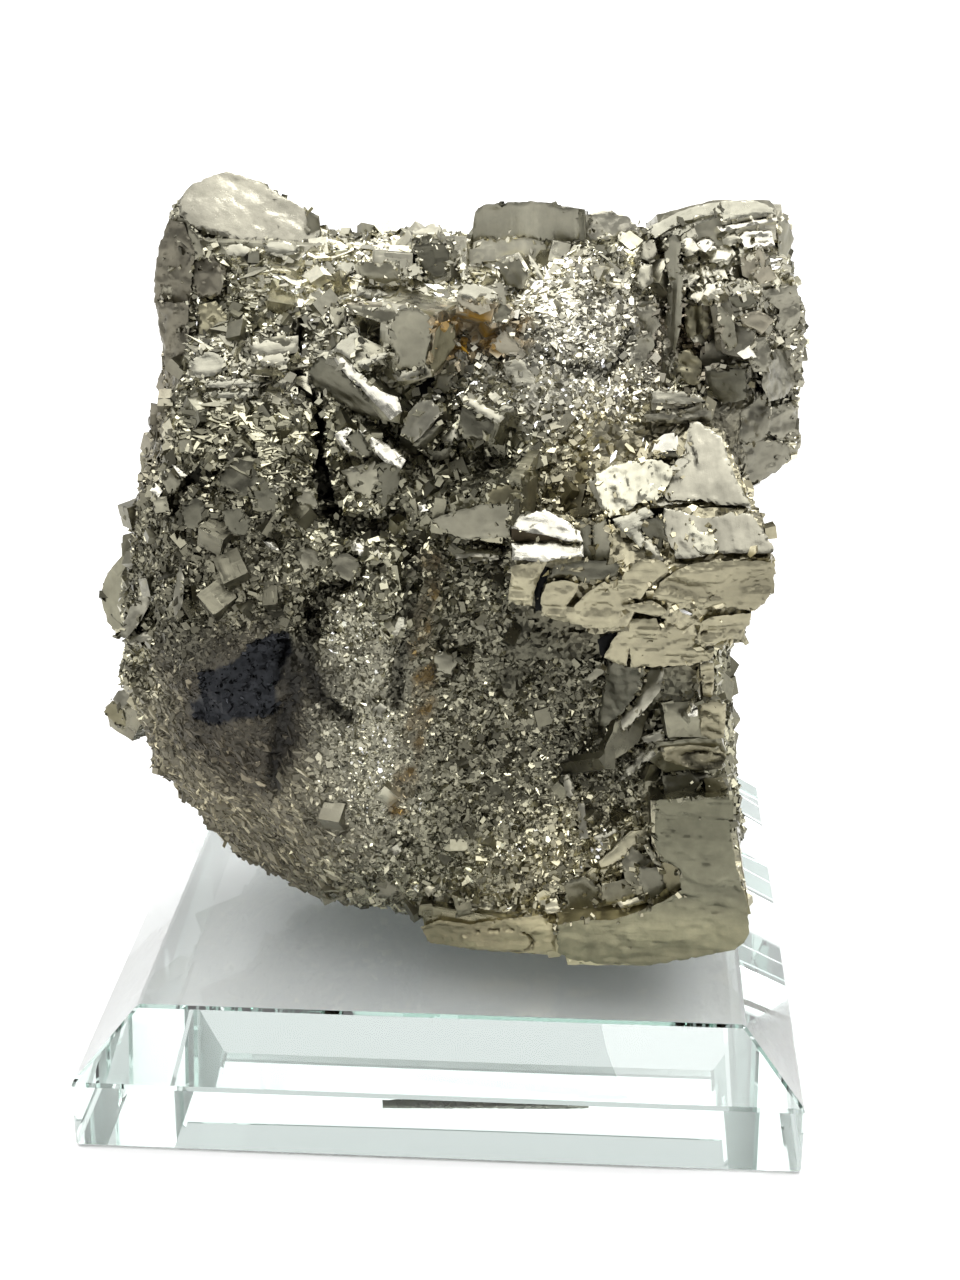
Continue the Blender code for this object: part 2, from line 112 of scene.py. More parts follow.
def blend(low, high, share):
    """Between two colours or finishes, by a share for each point."""
    share = np.asarray(share)[..., None]
    return np.asarray(low) * (1 - share) + np.asarray(high) * share


# ---------------------------------------------------------------- meshes from arrays


def mesh_object(name, verts, faces, tint, finish, smooth=None):
    """A triangle mesh in millimetres with its colour and finish stored on its points.

    tint is red, green and blue. finish is roughness, metallic and the strengths of the fine grain and of the
    slow waves. smooth marks the faces with soft shading, none of them by default.
    """
    mesh = bpy.data.meshes.new(name)
    mesh.vertices.add(len(verts))
    mesh.vertices.foreach_set("co", (np.asarray(verts, np.float32) * MM).ravel())
    mesh.loops.add(faces.size)
    mesh.loops.foreach_set("vertex_index", faces.astype(np.int32).ravel())
    mesh.polygons.add(len(faces))
    mesh.polygons.foreach_set("loop_start", np.arange(len(faces), dtype=np.int32) * faces.shape[1])
    mesh.update(calc_edges=True)
    mesh.polygons.foreach_set("use_smooth", np.zeros(len(faces), bool) if smooth is None else smooth)
    for label, values in (("tint", tint), ("finish", finish)):
        full = np.full((len(verts), 4), PLAIN_WAVES, np.float32)
        full[:, :values.shape[1]] = values
        stored = mesh.attributes.new(label, "FLOAT_COLOR", "POINT")
        stored.data.foreach_set("color", full.ravel())
    made = bpy.data.objects.new(name, mesh)
    bpy.context.scene.collection.objects.link(made)
    return made


def mesh_arrays(mesh):
    """Vertices in millimetres and triangles of a mesh."""
    verts = np.empty(len(mesh.vertices) * 3, np.float32)
    mesh.vertices.foreach_get("co", verts)
    mesh.calc_loop_triangles()
    faces = np.empty(len(mesh.loop_triangles) * 3, np.int32)
    mesh.loop_triangles.foreach_get("vertices", faces)
    return verts.reshape(-1, 3).astype(float) / MM, faces.reshape(-1, 3)


def face_normals(verts, faces):
    """Normal and area of each triangle."""
    a, b, c = (verts[faces[:, i]] for i in range(3))
    cross = np.cross(b - a, c - a)
    length = np.linalg.norm(cross, axis=1)
    return cross / np.maximum(length, 1e-12)[:, None], length / 2


def point_normals(verts, faces):
    """Normal at each point, from the triangles round it by their area."""
    normals, areas = face_normals(verts, faces)
    total = np.zeros_like(verts)
    for i in range(3):
        np.add.at(total, faces[:, i], normals * areas[:, None])
    return total / np.maximum(np.linalg.norm(total, axis=1), 1e-12)[:, None]


# ---------------------------------------------------------------- the solid's own crystal faces
SAME_PLANE = math.radians(1.2)
SQUARE_EDGE = math.radians(55)  # a convex edge sharper than this bounds a crystal
EDGE_SHARE = 0.3  # share of a face's outline with such edges that makes it a crystal face
WELD = 1e-6

solid = bmesh.new()
solid.from_mesh(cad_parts["mineral_cluster"].data)
bmesh.ops.remove_doubles(solid, verts=solid.verts, dist=WELD)
bmesh.ops.dissolve_degenerate(solid, dist=WELD, edges=solid.edges)
solid.faces.ensure_lookup_table()
solid.verts.ensure_lookup_table()
solid.normal_update()

patch_of = [-1] * len(solid.faces)
patches = []
for face in solid.faces:
    if patch_of[face.index] >= 0:
        continue
    patch_of[face.index] = len(patches)
    members, waiting = [], [face]
    while waiting:
        one = waiting.pop()
        members.append(one)
        for edge in one.edges:
            for other in edge.link_faces:
                if patch_of[other.index] < 0 and other.normal.angle(face.normal, 3.0) < SAME_PLANE:
                    patch_of[other.index] = len(patches)
                    waiting.append(other)
    patches.append(members)


def is_crystal(members):
    """Whether square edges bound enough of a flat of the solid."""
    number = patch_of[members[0].index]
    outline = sharp = 0.0
    for face in members:
        for edge in face.edges:
            if len(edge.link_faces) == 2 and all(patch_of[f.index] == number for f in edge.link_faces):
                continue
            length = edge.calc_length()
            outline += length
            if len(edge.link_faces) == 2 and edge.calc_face_angle_signed(0) > SQUARE_EDGE:
                sharp += length
    return outline > 0 and sharp / outline > EDGE_SHARE


def middle_and_area(members):
    """Middle of a flat of the solid in millimetres, and its area in square millimetres."""
    middle = sum((face.calc_center_median() for face in members), Vector()) / len(members) / MM
    return middle, sum(face.calc_area() for face in members) / MM**2


def crusted(members):
    """Whether fine crystals cover a flat: the horn's body, the ridge and the back column's flank."""
    middle, area = middle_and_area(members)
    normal = members[0].normal
    horn = middle.x < -13 and 86 < middle.z < 117 and normal.z < 0.6
    ridge = -17 < middle.x < 1 and 44 < middle.z < 84 and middle.y < -20
    flank = middle.x > 33 and 70 < middle.z < 117 and (normal.x > 0.3 or middle.z < 93 or area > 60)
    return horn or ridge or flank


crystal_patches = [members for members in patches if is_crystal(members) and not crusted(members)]
is_crystal_face = np.zeros(len(solid.faces))
for members in crystal_patches:
    for face in members:
        is_crystal_face[face.index] = 1
tree = BVHTree.FromBMesh(solid)


# ---------------------------------------------------------------- what the front view lines up
EYE = np.array((20.8, -279.4, 168.1))
SHEET_Y = -20.0  # outlines are drawn on this upright plane, as seen from EYE
FRONT_ENDS_Y = 18.0  # nothing behind this is lined up with the view


def on_sheet(points):
    """Where the sight lines to these points cross the sheet, as x and z."""
    share = (SHEET_Y - EYE[1]) / (points[:, 1] - EYE[1])
    return (EYE + (points - EYE) * share[:, None])[:, (0, 2)]


def inside(places, outline):
    """Whether each place on the sheet is inside an outline."""
    ring = np.array(outline)
    found = np.zeros(len(places), bool)
    near = np.flatnonzero(np.all((places >= ring.min(axis=0)) & (places <= ring.max(axis=0)), axis=1))
    x, z = places[near].T
    odd = np.zeros(len(near), bool)
    for (x0, z0), (x1, z1) in zip(ring, np.roll(ring, -1, axis=0)):
        if z0 != z1:
            odd ^= ((z0 > z) != (z1 > z)) & (x < x0 + (z - z0) * (x1 - x0) / (z1 - z0))
    found[near] = odd
    return found


def line_gap(places, line):
    """Distance from each place on the sheet to a broken line."""
    best = np.full(len(places), 1e9)
    for start, stop in zip(line[:-1], line[1:]):
        start, way = np.array(start), np.array(stop) - np.array(start)
        share = np.clip((places - start) @ way / (way @ way), 0, 1)
        best = np.minimum(best, np.linalg.norm(places - start - share[:, None] * way, axis=1))
    return best


def faces_eye(points, normals):
    """Whether each point of a surface is turned to the eye, and near the front."""
    return (np.einsum("ij,ij->i", normals, EYE - points) > 0) & (points[:, 1] < FRONT_ENDS_Y)


CRACKS = [((-19.4, 109.6), (-19.9, 106.5), (-19.9, 102.8), (-19.3, 100.7), (-17.7, 99.3), (-17.3, 96.3),
           (-17.3, 92.8), (-17.2, 89.3), (-16.2, 83.9)),
          ((-33.2, 88.2), (-35.3, 87.5), (-37.0, 85.8), (-38.0, 82.9))]
COAL = ((-34.6, 60.8), (-29.5, 62.0), (-26.6, 64.0), (-20.9, 65.7), (-21.6, 61.4), (-22.6, 56.8),
        (-25.6, 53.3), (-31.4, 51.1), (-37.2, 52.1), (-37.7, 54.8), (-34.8, 56.5))
# Line, half width and depth of each crease between the masses. The rock in a crease is also darkened as
# painted shade.
CREASES = [
    (((-13.6, 74), (-18.2, 70.1), (-20.1, 64.5), (-20.6, 60.2), (-18.7, 55.4), (-14.9, 52.7)), 1.5, 1.3),
    (((12.9, 106.3), (16.2, 103.7), (19.5, 102.8), (22.8, 105.1), (24.2, 109.1)), 0.8, 0.5),
    (((-17.1, 89.3), (-16.1, 84.4), (-14.2, 81.1), (-10, 80.9), (-6.8, 83.6)), 1.6, 1.2),
    (((-4.3, 77.9), (-5.1, 70.8), (-6.3, 63.3), (-7.3, 55.7)), 1.6, 0.6),
    (((-23.4, 62.9), (-22.3, 56.8), (-23.9, 49), (-25.8, 41)), 1.6, 0.8),
]
RUST_LINE = ((-2.5, 76.7), (-4.0, 64.9), (-3.4, 55.8), (-5.7, 46.4), (-7.2, 38.4))

# Single faces that stand out: tone, azimuth and tilt (None for the rock's own slant), how far the face
# stands out, and its outline on the sheet.
FACETS = [
    # the horn's face, the small ones beside it and on the top edge
    ("horn", None, 0.5, ((-34.8, 125.3), (-33.1, 127.4), (-30.5, 128.5), (-28.1, 129.2), (-26.2, 128.7),
     (-23.2, 127.3), (-18.9, 124.8), (-17.3, 123.8), (-16.9, 122.8), (-16.4, 121.9), (-16.6, 120.4),
     (-19.3, 119.8), (-23, 120.3), (-26.9, 120.2), (-30.2, 120.7), (-33.4, 122), (-34.8, 123.5))),
    ("mid", (-35, 2), 0.6, ((-35.7, 123.3), (-33.8, 122.8), (-32.3, 120.2), (-31.5, 118.4), (-33.4, 117.3),
     (-36.8, 117.3), (-37.1, 119.4))),
    ("pale", (10, 30), 0.8, ((-26.5, 106.8), (-19.7, 107.8), (-19.8, 105.5), (-23.6, 104.8), (-26, 105.2))),
    ("dark", (-20, 5), 0.9, ((-27.5, 106.6), (-26.5, 106.8), (-26, 105.2), (-26.7, 104.3), (-27.6, 105.4))),
    ("cream", (-5, 44), 0.6, ((-34.7, 103.4), (-33, 105.3), (-30.3, 105.6), (-30, 103.3), (-32.4, 102.2),
     (-34.3, 102.2))),
    ("pale", (0, 40), 0.4, ((-4.7, 121.7), (-1.5, 122.9), (-0.6, 122), (-1.1, 120.8), (-4.5, 120.9))),
    ("dark", (0, 8), 0.6, ((-4.5, 120.1), (-0.8, 120.6), (0.3, 119.3), (0, 115.9), (-1.9, 115.3),
     (-3.5, 117.7))),
    ("mid", (25, 5), 0.8, ((-0.1, 120.7), (1.1, 120.8), (1.6, 117.7), (2, 115.3), (0.7, 115.5),
     (0.3, 119))),
    ("cream", (10, 40), 0.9, ((1.1, 120.4), (1.6, 120.5), (2.1, 117.7), (2.8, 115.7), (2, 115.3),
     (1.4, 117.7))),
    ("mid", None, 0.4, ((-7.9, 117.6), (-6.1, 117.8), (-6.1, 115.3), (-7.7, 115.1))),
    ("mid", None, 0.4, ((-13.4, 117.3), (-8.7, 117.6), (-8.6, 116.3), (-12.6, 115.9))),
    ("mid", None, 0.4, ((-15.4, 111.7), (-13.4, 111.9), (-13, 110.2), (-14.3, 108.6), (-15.3, 109.1))),
    ("mid", None, 0.5, ((-13.4, 112), (-6.7, 111.6), (-6.4, 110.3), (-7.8, 109.3), (-12.5, 110.9))),
    # the saddle: the pale slab and the cubes round it
    ("cream", (0, 42), 1.2, ((1.5, 114.3), (2.1, 115.1), (4.3, 115), (6.3, 114.1), (6.6, 113.2),
     (5.5, 112.4), (3, 112.8), (1.3, 113.3))),
    ("tan", (0, -4), 1, ((1.2, 113.2), (5.5, 112.4), (5.8, 111.4), (4.3, 110.8), (2.1, 111.7))),
    ("mid", (-15, 10), 1, ((5, 110.8), (7, 112.4), (7.7, 112.2), (8.5, 111.5), (8, 110.3), (5.7, 109.4))),
    ("white", (0, 45), 1, ((8.4, 111.4), (9.6, 111.8), (9.3, 110.5), (8.8, 110.6))),
    ("mid", (0, -2), 1.2, ((-7.5, 109.3), (-6.3, 111.3), (-4.2, 111.9), (-1.6, 110.1), (-2.1, 107.4),
     (-2.5, 104.2), (-3.9, 103.6), (-6.8, 103), (-6.5, 104.9), (-7.7, 106.7))),
    ("pale", (-3, 30), 1.2, ((-7.4, 102.9), (-3.6, 103.9), (-3.8, 102.1), (-6.8, 101.8))),
    ("olive", (40, 0), 0.9, ((-1.3, 108.8), (-0.5, 109.8), (1.1, 109.5), (1.2, 106.9), (-0.2, 104.2),
     (-1.9, 102.3), (-2.3, 104.5))),
    ("black", None, 0.15, ((-6.3, 101.4), (-3.6, 101.9), (-1.4, 103), (-2, 100.5), (-3, 99.6),
     (-4.8, 100.8))),
    ("mid", (-15, 15), 0.8, ((-1.4, 103.1), (1.4, 103.2), (-0.1, 100), (-1.9, 100.8))),
    ("white", (0, 45), 1, ((-2.1, 100.1), (-1, 100.4), (-0.9, 99.7), (-1.8, 99.3))),
    # the slanting slabs in the middle and the cubes under them
    ("cream", (-10, 42), 0.8, ((-15.5, 105.9), (-13.5, 107.9), (-11.8, 108.5), (-11.4, 106.6),
     (-12.9, 104.7), (-14.2, 105.6))),
    ("cream", (5, 42), 1.2, ((-12, 104.3), (-7.6, 106.1), (-7.2, 105.6), (-11.3, 103.5))),
    ("white", (-10, 44), 1.4, ((-15.6, 105.7), (-14.6, 106.3), (-12.7, 104), (-10.8, 102.2), (-8.9, 100.4),
     (-6.5, 99.6), (-6.1, 97.7), (-7.7, 96.5), (-9.2, 98.2), (-11.1, 100.2), (-13.1, 102.1),
     (-14.7, 104.1))),
    ("dark", (-25, -6), 1.2, ((-17.4, 104.9), (-15.7, 104.5), (-13.6, 102.5), (-11.7, 100.5), (-9.7, 98.5),
     (-8.5, 96.4), (-10.2, 96.3), (-12.7, 97.5), (-15.3, 99.1), (-18.1, 100.9), (-18.6, 102.8))),
    ("white", (-15, 45), 1.2, ((-15.3, 94.4), (-13.5, 95.5), (-12.9, 95.1), (-13.8, 93.9), (-12.8, 92.2),
     (-13.5, 91.8), (-14.8, 93.4))),
    ("dark", (20, -5), 1.1, ((-13.6, 93.9), (-12.1, 95), (-11, 93.6), (-9.8, 91.6), (-10.4, 90.7),
     (-11.9, 91.5), (-12.8, 92.5))),
    ("white", (5, 44), 1.2, ((-11.9, 95), (-11, 95.4), (-9, 93.7), (-6.6, 92.3), (-5.7, 90.9), (-6.3, 89.8),
     (-8.5, 90.6), (-10.2, 92.4))),
    ("mid", (-15, 0), 0.9, ((-14.6, 89.2), (-9.9, 90.7), (-9.4, 88), (-10.5, 85.2), (-13.2, 86.4))),
    ("cream", (-10, 42), 1, ((-13.4, 89.8), (-10, 90.7), (-9.7, 90), (-13, 89.1))),
    ("dark", (15, 0), 1.2, ((-9.3, 90.4), (-7.1, 90.9), (-6.2, 89.5), (-6.8, 86.7), (-8.5, 83.8),
     (-9.8, 85.2), (-9.5, 88))),
    ("pale", (-20, 22), 1.6, ((-6.4, 94.8), (-5.3, 97.6), (-3.7, 99.3), (-2.1, 99.4), (-0.6, 97.8),
     (-2.2, 95.9), (-3.7, 94.2), (-4.8, 93.2))),
    ("dark", (30, -10), 1.2, ((-3.6, 94), (-0.7, 96.6), (-0.5, 95.1), (-2.9, 92.2), (-4.7, 92.9))),
    ("dark", (0, -15), 0.8, ((-4.4, 92.6), (-1, 92.1), (0.3, 93), (1.1, 91.2), (-2.1, 90.7))),
    ("dark", (10, 6), 1.1, ((1.9, 98.4), (4.2, 97.6), (6.9, 95.9), (6.2, 94.5), (4.3, 93.8), (2.1, 94.1),
     (1.4, 96.1))),
    ("pale", (0, 38), 1.2, ((1.4, 100.4), (3.3, 99.8), (5.3, 98.5), (7.8, 97.1), (6.8, 96.2), (4.3, 97.5),
     (2.2, 98.7))),
    ("pale", (-10, 40), 0.9, ((-1.2, 93.8), (0.9, 95.9), (1.8, 94.1), (0.4, 93.1))),
    # the large dark cube and the white slabs on its right
    ("mid", (-5, -3), 1, ((-2.5, 82.4), (-0.3, 83.4), (4.3, 84.8), (8.7, 85.2), (8.6, 80.2), (1.9, 79.6),
     (-0.4, 80.8))),
    ("olive", (0, 18), 1, ((4.1, 84.9), (5.7, 87.2), (7.7, 87.8), (10, 87.2), (9.9, 85.2), (8.7, 85))),
    ("dark", (50, 0), 0.8, ((8.7, 85), (10, 87), (9.9, 82.8), (8.6, 80.2))),
    ("white", (-10, 45), 0.9, ((-13.7, 78.7), (-12.4, 79.6), (-11.2, 77.7), (-11.9, 77))),
    ("white", (0, 45), 0.9, ((-4.2, 84.9), (-3.1, 84.9), (-2.7, 83.9), (-3.8, 83.6))),
    ("pale", (0, 35), 0.6, ((0.9, 76.8), (4.1, 78.2), (7.1, 78.4), (7.1, 77.1), (3, 76.4))),
    ("white", (-4, 46), 1, ((8.6, 83.3), (13.2, 84.5), (16, 82.9), (18, 81.5), (18.4, 79.9), (16.1, 79.9),
     (13.6, 80.7), (8.6, 81.4))),
    ("white", (-4, 46), 0.9, ((8.6, 79.4), (12.5, 79.8), (18.4, 79.5), (18.6, 77.8), (15.3, 77.4),
     (13.3, 76.9), (8.7, 77.1))),
    # a dark brown sheet of painted shade in the gap between the two white slabs
    ("rustbrown", (0, -10), 0.6, ((8.6, 81.4), (13.6, 80.7), (16.2, 79.9), (12.5, 79.7), (8.6, 79.6))),
    # the brassy mass: roof and eaves, then its front plates from left to right
    ("eaves", None, 0.7, ((32.2, 96.9), (33.2, 97.2), (36.5, 95), (38.8, 89), (39.8, 87.3), (41, 85.4),
     (36.7, 85.6), (34, 86.1), (29.7, 86), (28.7, 87.1), (30.1, 90.2), (32.2, 91.4), (31.6, 93.6))),
    ("crumble", None, 0.8, ((19.9, 89.7), (22.1, 90.9), (25.8, 91.8), (28.7, 91.7), (30.5, 90.2),
     (29.1, 87.1), (28.2, 86), (26, 85.5), (23.6, 83.9), (21.7, 83.6), (20.6, 85.8), (20, 87.5))),
    ("eaves", None, 0.9, ((29.2, 84.9), (31.4, 84.6), (34.6, 83.6), (36.2, 83.9), (38.1, 84.5), (41, 84.3),
     (43.1, 81.6), (44.5, 79.2), (44, 78.8), (37, 78.6), (33, 77.8), (31.1, 77.8), (29.9, 80.3),
     (29, 82.9))),
    ("crumble", None, 0.9, ((18.6, 88), (19.7, 89.6), (20.7, 90), (21.3, 87.2), (22.2, 84.7), (21.1, 84.1),
     (19.6, 86.2), (18.9, 86.9))),
    ("cream", (0, 32), 0.8, ((22.3, 83.2), (24.4, 83.9), (26.8, 85.1), (27.9, 84), (26.6, 83.1),
     (26.1, 81.7), (27.2, 80.1), (26.2, 79.1), (24.8, 80.5), (23.1, 81.6))),
    ("pale", (5, 36), 0.7, ((26.4, 80.2), (27.5, 80.6), (28.9, 78.6), (29.5, 77.4), (28.1, 77.4),
     (27, 78.5))),
    ("crumble", None, 1.1, ((32.1, 82.8), (33.3, 83.2), (34.2, 81.6), (35.8, 81.9), (36.7, 79.8),
     (36.5, 78.6), (34.6, 78.4), (33.4, 79.7), (32.6, 80.7))),
    ("white", (0, 46), 1, ((27.8, 94.3), (28.9, 95.3), (30.7, 95.5), (30.9, 93), (28.9, 92.8),
     (27.1, 92.4))),
    ("dark", (0, 0), 0.8, ((26.8, 92.2), (28.9, 92.7), (30.9, 92.7), (31, 91.9), (28.7, 91.9))),
    ("brass", (-8, -4), 1.1, ((8.5, 76.1), (13.7, 77.1), (12.7, 74.9), (11.9, 72.7), (11.5, 70.2),
     (9.3, 70.4), (8.2, 71.1))),
    ("brass", (0, -6), 1.5, ((13.3, 73.4), (15.3, 74.2), (18, 73.8), (17.6, 72.5), (16.2, 70.3), (17.1, 70),
     (18.4, 71.7), (19.8, 72.9), (21.5, 74.1), (24.1, 73), (25.4, 71.5), (24, 69.7), (23.3, 67.2),
     (22, 66.9), (19.6, 67.3), (15.4, 68), (12.9, 69), (12.6, 71.2))),
    ("brass", (-5, -2), 1.3, ((24.2, 75.6), (26.2, 77.4), (29.3, 77.4), (30.1, 75.9), (27.7, 73.6),
     (26.4, 71.5), (23.6, 71.8), (21.8, 72.8), (22.1, 74.1), (23.6, 74.3))),
    ("brass", (4, -4), 1.4, ((30.7, 75.7), (33, 76.9), (37.1, 77.5), (42.5, 77.6), (44.5, 77.3),
     (44.6, 73.4), (43.4, 71.4), (42.1, 70.3), (39.5, 70.5), (36.2, 70.9), (34.6, 70), (33.5, 71.4),
     (31.3, 71.1), (29.7, 71.3), (28, 71.9), (29, 74))),
    ("brass", (10, -8), 1.2, ((35, 68.5), (36.9, 69.4), (41.7, 70), (41.6, 68.1), (39.6, 66.6), (36.8, 65),
     (35.1, 64.7), (34.4, 66.4))),
    ("brass", (0, -5), 1, ((24.4, 68.7), (28.7, 68.8), (29.4, 67.2), (29.9, 68.7), (32, 68.7), (32.6, 66.7),
     (33.3, 68.5), (34.2, 66.4), (34, 64.6), (35.3, 64.2), (36.9, 64.4), (36.6, 62.8), (33.6, 61.9),
     (25.3, 61.4), (25.1, 64.4), (24.7, 61.6), (22.8, 62), (21.5, 62.8), (22.7, 65.5), (23.7, 67.2))),
    ("brass", (0, 0), 1.5, ((26.4, 71.1), (28, 71.6), (29.4, 70.7), (30.3, 69.9), (28.9, 69.1),
     (24.8, 69.9), (23.8, 70.6))),
    ("brass", (20, 0), 0.8, ((35, 62.3), (37, 62.6), (37.1, 58.4), (36.8, 57.2), (35.6, 57.5))),
    ("dark", None, 0.4, ((14.2, 76.2), (18.6, 77.2), (23.8, 77), (23.3, 74.7), (21.4, 74.5), (19.5, 73.7),
     (16.2, 74.7), (14, 74.2))),
    ("black", None, 0.2, ((12.2, 74.9), (13.3, 76.2), (13.7, 74.9), (12.8, 72.4), (12.8, 69.5), (12, 69.4),
     (11.8, 72.4))),
    ("black", None, 0.2, ((20.6, 65.5), (22.6, 66.7), (23.6, 66.8), (21.6, 63), (21.1, 63.1))),
    # under the brassy mass
    ("dark", (-40, -8), 0.8, ((22.1, 62.2), (27.4, 61.5), (26.8, 58.1), (25.2, 55.8), (23.5, 52.8),
     (21.8, 50.2), (20.5, 50.9), (21.2, 56.5))),
    ("pale", (-30, 15), 0.9, ((27.8, 61.8), (30, 61.8), (29.6, 58.2), (28.2, 55.9), (26.9, 54.3),
     (24, 51.1), (22.1, 49.7), (23.1, 52.7), (26.1, 56.6), (27.1, 59.3))),
    ("brass", (0, -6), 1, ((35.2, 56.7), (38.9, 56.5), (38.8, 51), (37.1, 50.6), (35.5, 51.2))),
    ("brass", (0, 10), 1, ((29.8, 49.3), (34, 49.9), (38.3, 49.5), (39.3, 48.3), (38.7, 46.3), (35.6, 45.7),
     (30.6, 47.3))),
    ("cream", (-20, 40), 1, ((27.9, 49.6), (29.9, 49), (27.1, 46.1), (23.8, 43.6), (24.3, 44.9))),
    ("pale", (-5, 25), 0.8, ((27.1, 50.9), (30.3, 52.4), (30.5, 50.6), (28, 49.4))),
    ("white", (0, 46), 0.8, ((33.8, 56.6), (34.7, 58.3), (35, 54.4), (33.2, 54.2))),
    ("white", (-10, 40), 0.8, ((34.4, 62.1), (34.8, 62.3), (35.2, 56.8), (34.7, 58.3))),
    ("mid", None, 0.5, ((20, 61.3), (21.1, 62.5), (22.2, 61), (19.8, 59), (19.2, 59.3))),
    # the corner plate, the foot slab and what lies in front of them
    ("corner", (0, -4), 0.8, ((29.5, 41.1), (35.8, 41.6), (40.2, 41.9), (40.7, 39.6), (40.6, 34.8),
     (41.5, 30.9), (42.4, 28), (43.4, 24.6), (43.9, 19.8), (43.2, 18.1), (41.9, 17), (36.8, 15.5),
     (29.5, 13.7), (22.2, 13.7), (17.7, 14.4), (15.8, 15.5), (15.6, 20.1), (19.1, 21.1), (23.7, 21.2),
     (27.8, 22.9), (31.2, 24.6), (33.8, 26.7), (33.1, 30.3), (30.6, 31.4), (29.5, 34.4))),
    ("mid", (20, 5), 0.9, ((27.4, 35), (28.2, 35.3), (29.8, 32.1), (31.6, 29.9), (30.8, 29.6), (29, 31.8))),
    ("mid", (-10, 20), 0.6, ((26.3, 33.8), (29, 31.5), (30.5, 28.2), (27.7, 25.5), (25.5, 28.1),
     (24.7, 31))),
    ("brass", (0, -5), 0.7, ((-4.6, 19), (-1.6, 20.5), (2.9, 19.8), (7.3, 20.8), (13.2, 21.8), (15.6, 20.1),
     (15.6, 15.7), (10.3, 15.2), (2.9, 15.6), (-3.1, 16.4))),
    ("pale", (-10, 30), 1, ((18.3, 40.3), (19.3, 40.3), (20, 34.7), (18.7, 34.5))),
    ("pale", (0, 42), 0.9, ((20.5, 34.8), (24.5, 37), (24.7, 36.3), (21.7, 34.3))),
    ("pale", (-15, 36), 1, ((15.9, 44.7), (16.9, 44.8), (17.8, 43.3), (17.7, 40.6), (16.7, 41.5))),
    ("cream", (-5, 42), 0.7, ((-9.1, 32.2), (-7.6, 33.3), (-6.7, 31.9), (-8.2, 31))),
    ("cream", (0, 42), 0.7, ((8.4, 37.3), (9.8, 37), (10.4, 35.7), (8.7, 35.3))),
    ("cream", (-5, 42), 0.7, ((-4.2, 25.7), (-3, 27.1), (-1.8, 25.8), (-3.2, 24.3))),
    ("mid", (-5, 5), 0.6, ((-11.6, 26), (-9.5, 27.2), (-7.4, 25.6), (-8.6, 23.6), (-11, 23.8))),
    ("mid", (5, -3), 0.6, ((0.2, 24.6), (2.9, 24), (3.5, 21.5), (1.1, 20.9))),
    ("pale", (0, 30), 0.6, ((13.1, 24.3), (15.5, 24.8), (16.4, 22.5), (13.9, 22))),
    # the left block and its edge
    ("dark", (5, 3), 1.2, ((-26.8, 86.7), (-25.4, 87), (-23.2, 86.1), (-23.2, 83.2), (-24.7, 83),
     (-26.5, 84.2))),
    ("pale", (0, 40), 1.2, ((-25.7, 87.2), (-24.8, 87.7), (-22.9, 86.8), (-23.2, 86.2), (-25.4, 87))),
    ("dark", (-15, 10), 0.8, ((-32, 87.6), (-28.9, 90.8), (-26.3, 90.3), (-25.9, 87.7), (-27.8, 85.3),
     (-30.4, 86.1))),
    ("mid", (15, 0), 1, ((-39.3, 87.5), (-38, 88.6), (-36.5, 87.2), (-37.2, 85.2), (-38.4, 85.5))),
    ("white", (-10, 45), 1, ((-40.9, 86), (-40.1, 87.2), (-39.2, 86), (-39.8, 85))),
    ("white", (0, 45), 0.9, ((-37.7, 89.8), (-37.1, 89.6), (-35.6, 88.2), (-36.6, 88.1))),
    ("mid", (-10, -3), 0.8, ((-40.9, 84.9), (-38.7, 85.1), (-38.3, 82.9), (-40.4, 82.6))),
    ("dark", (-10, 8), 0.9, ((-36.6, 83.8), (-34, 85.4), (-33.3, 82.6), (-34.8, 80.4), (-36.9, 80.9))),
    ("dark", (10, -5), 0.8, ((-31.1, 83.1), (-28.6, 83.7), (-27, 82), (-27.9, 79.7), (-30.4, 79.9))),
    ("mid", (0, 12), 0.7, ((-20.2, 87), (-18.3, 86.2), (-17.8, 83.9), (-19.6, 83.3), (-20.8, 85))),
    ("mid", (20, 5), 0.6, ((-20.5, 78.5), (-18, 77.6), (-17.5, 75.5), (-19.8, 74.6), (-20.8, 76.3))),
    ("white", (0, 45), 0.8, ((-25.7, 79.1), (-24, 79.2), (-23.4, 77.7), (-24.5, 77.8))),
    ("pale", (-20, 35), 1, ((-46.9, 64.1), (-44.7, 69.1), (-42.6, 71.1), (-40.6, 72.3), (-41.6, 69.9),
     (-43.3, 66.9), (-45.6, 64.1))),
    ("pale", (-25, 30), 1, ((-38.6, 67), (-38.7, 70), (-37.8, 74.5), (-37.4, 75.8), (-36.9, 73),
     (-37.5, 69.1))),
    ("pale", (-10, 36), 0.9, ((-46.5, 63.7), (-44.4, 64.9), (-42.1, 65.4), (-39.8, 64.3), (-41.9, 64.1),
     (-44.8, 63.1))),
    ("pale", (-20, 20), 0.6, ((-48.3, 54.7), (-47.3, 56.1), (-45.8, 56.5), (-45.5, 54.6), (-47.1, 53.2))),
    ("olive", (-20, -2), 0.6, ((-49.7, 52.6), (-48.3, 54.6), (-46.9, 53), (-46.4, 50.2), (-48.5, 50.8))),
    # the flat-topped block on the top edge, and the saddle's right side
    ("fluted", (0, -4), 0.6, ((3, 120.1), (3.7, 124.2), (4.6, 125.1), (6.9, 125.4), (10.8, 125.7),
     (13.7, 125.4), (17, 124.6), (17.2, 120.8), (14.7, 120), (10.5, 120.9), (6.9, 120.6), (5.1, 120.9))),
    ("mid", (-10, 10), 0.6, ((6.5, 117.8), (9.4, 118.3), (10.7, 116.2), (9.9, 114.3), (7.6, 114.8))),
    ("cream", (15, 42), 0.8, ((10.6, 119), (11.3, 118.2), (12.8, 116.1), (12.3, 115.3), (11.1, 117.2))),
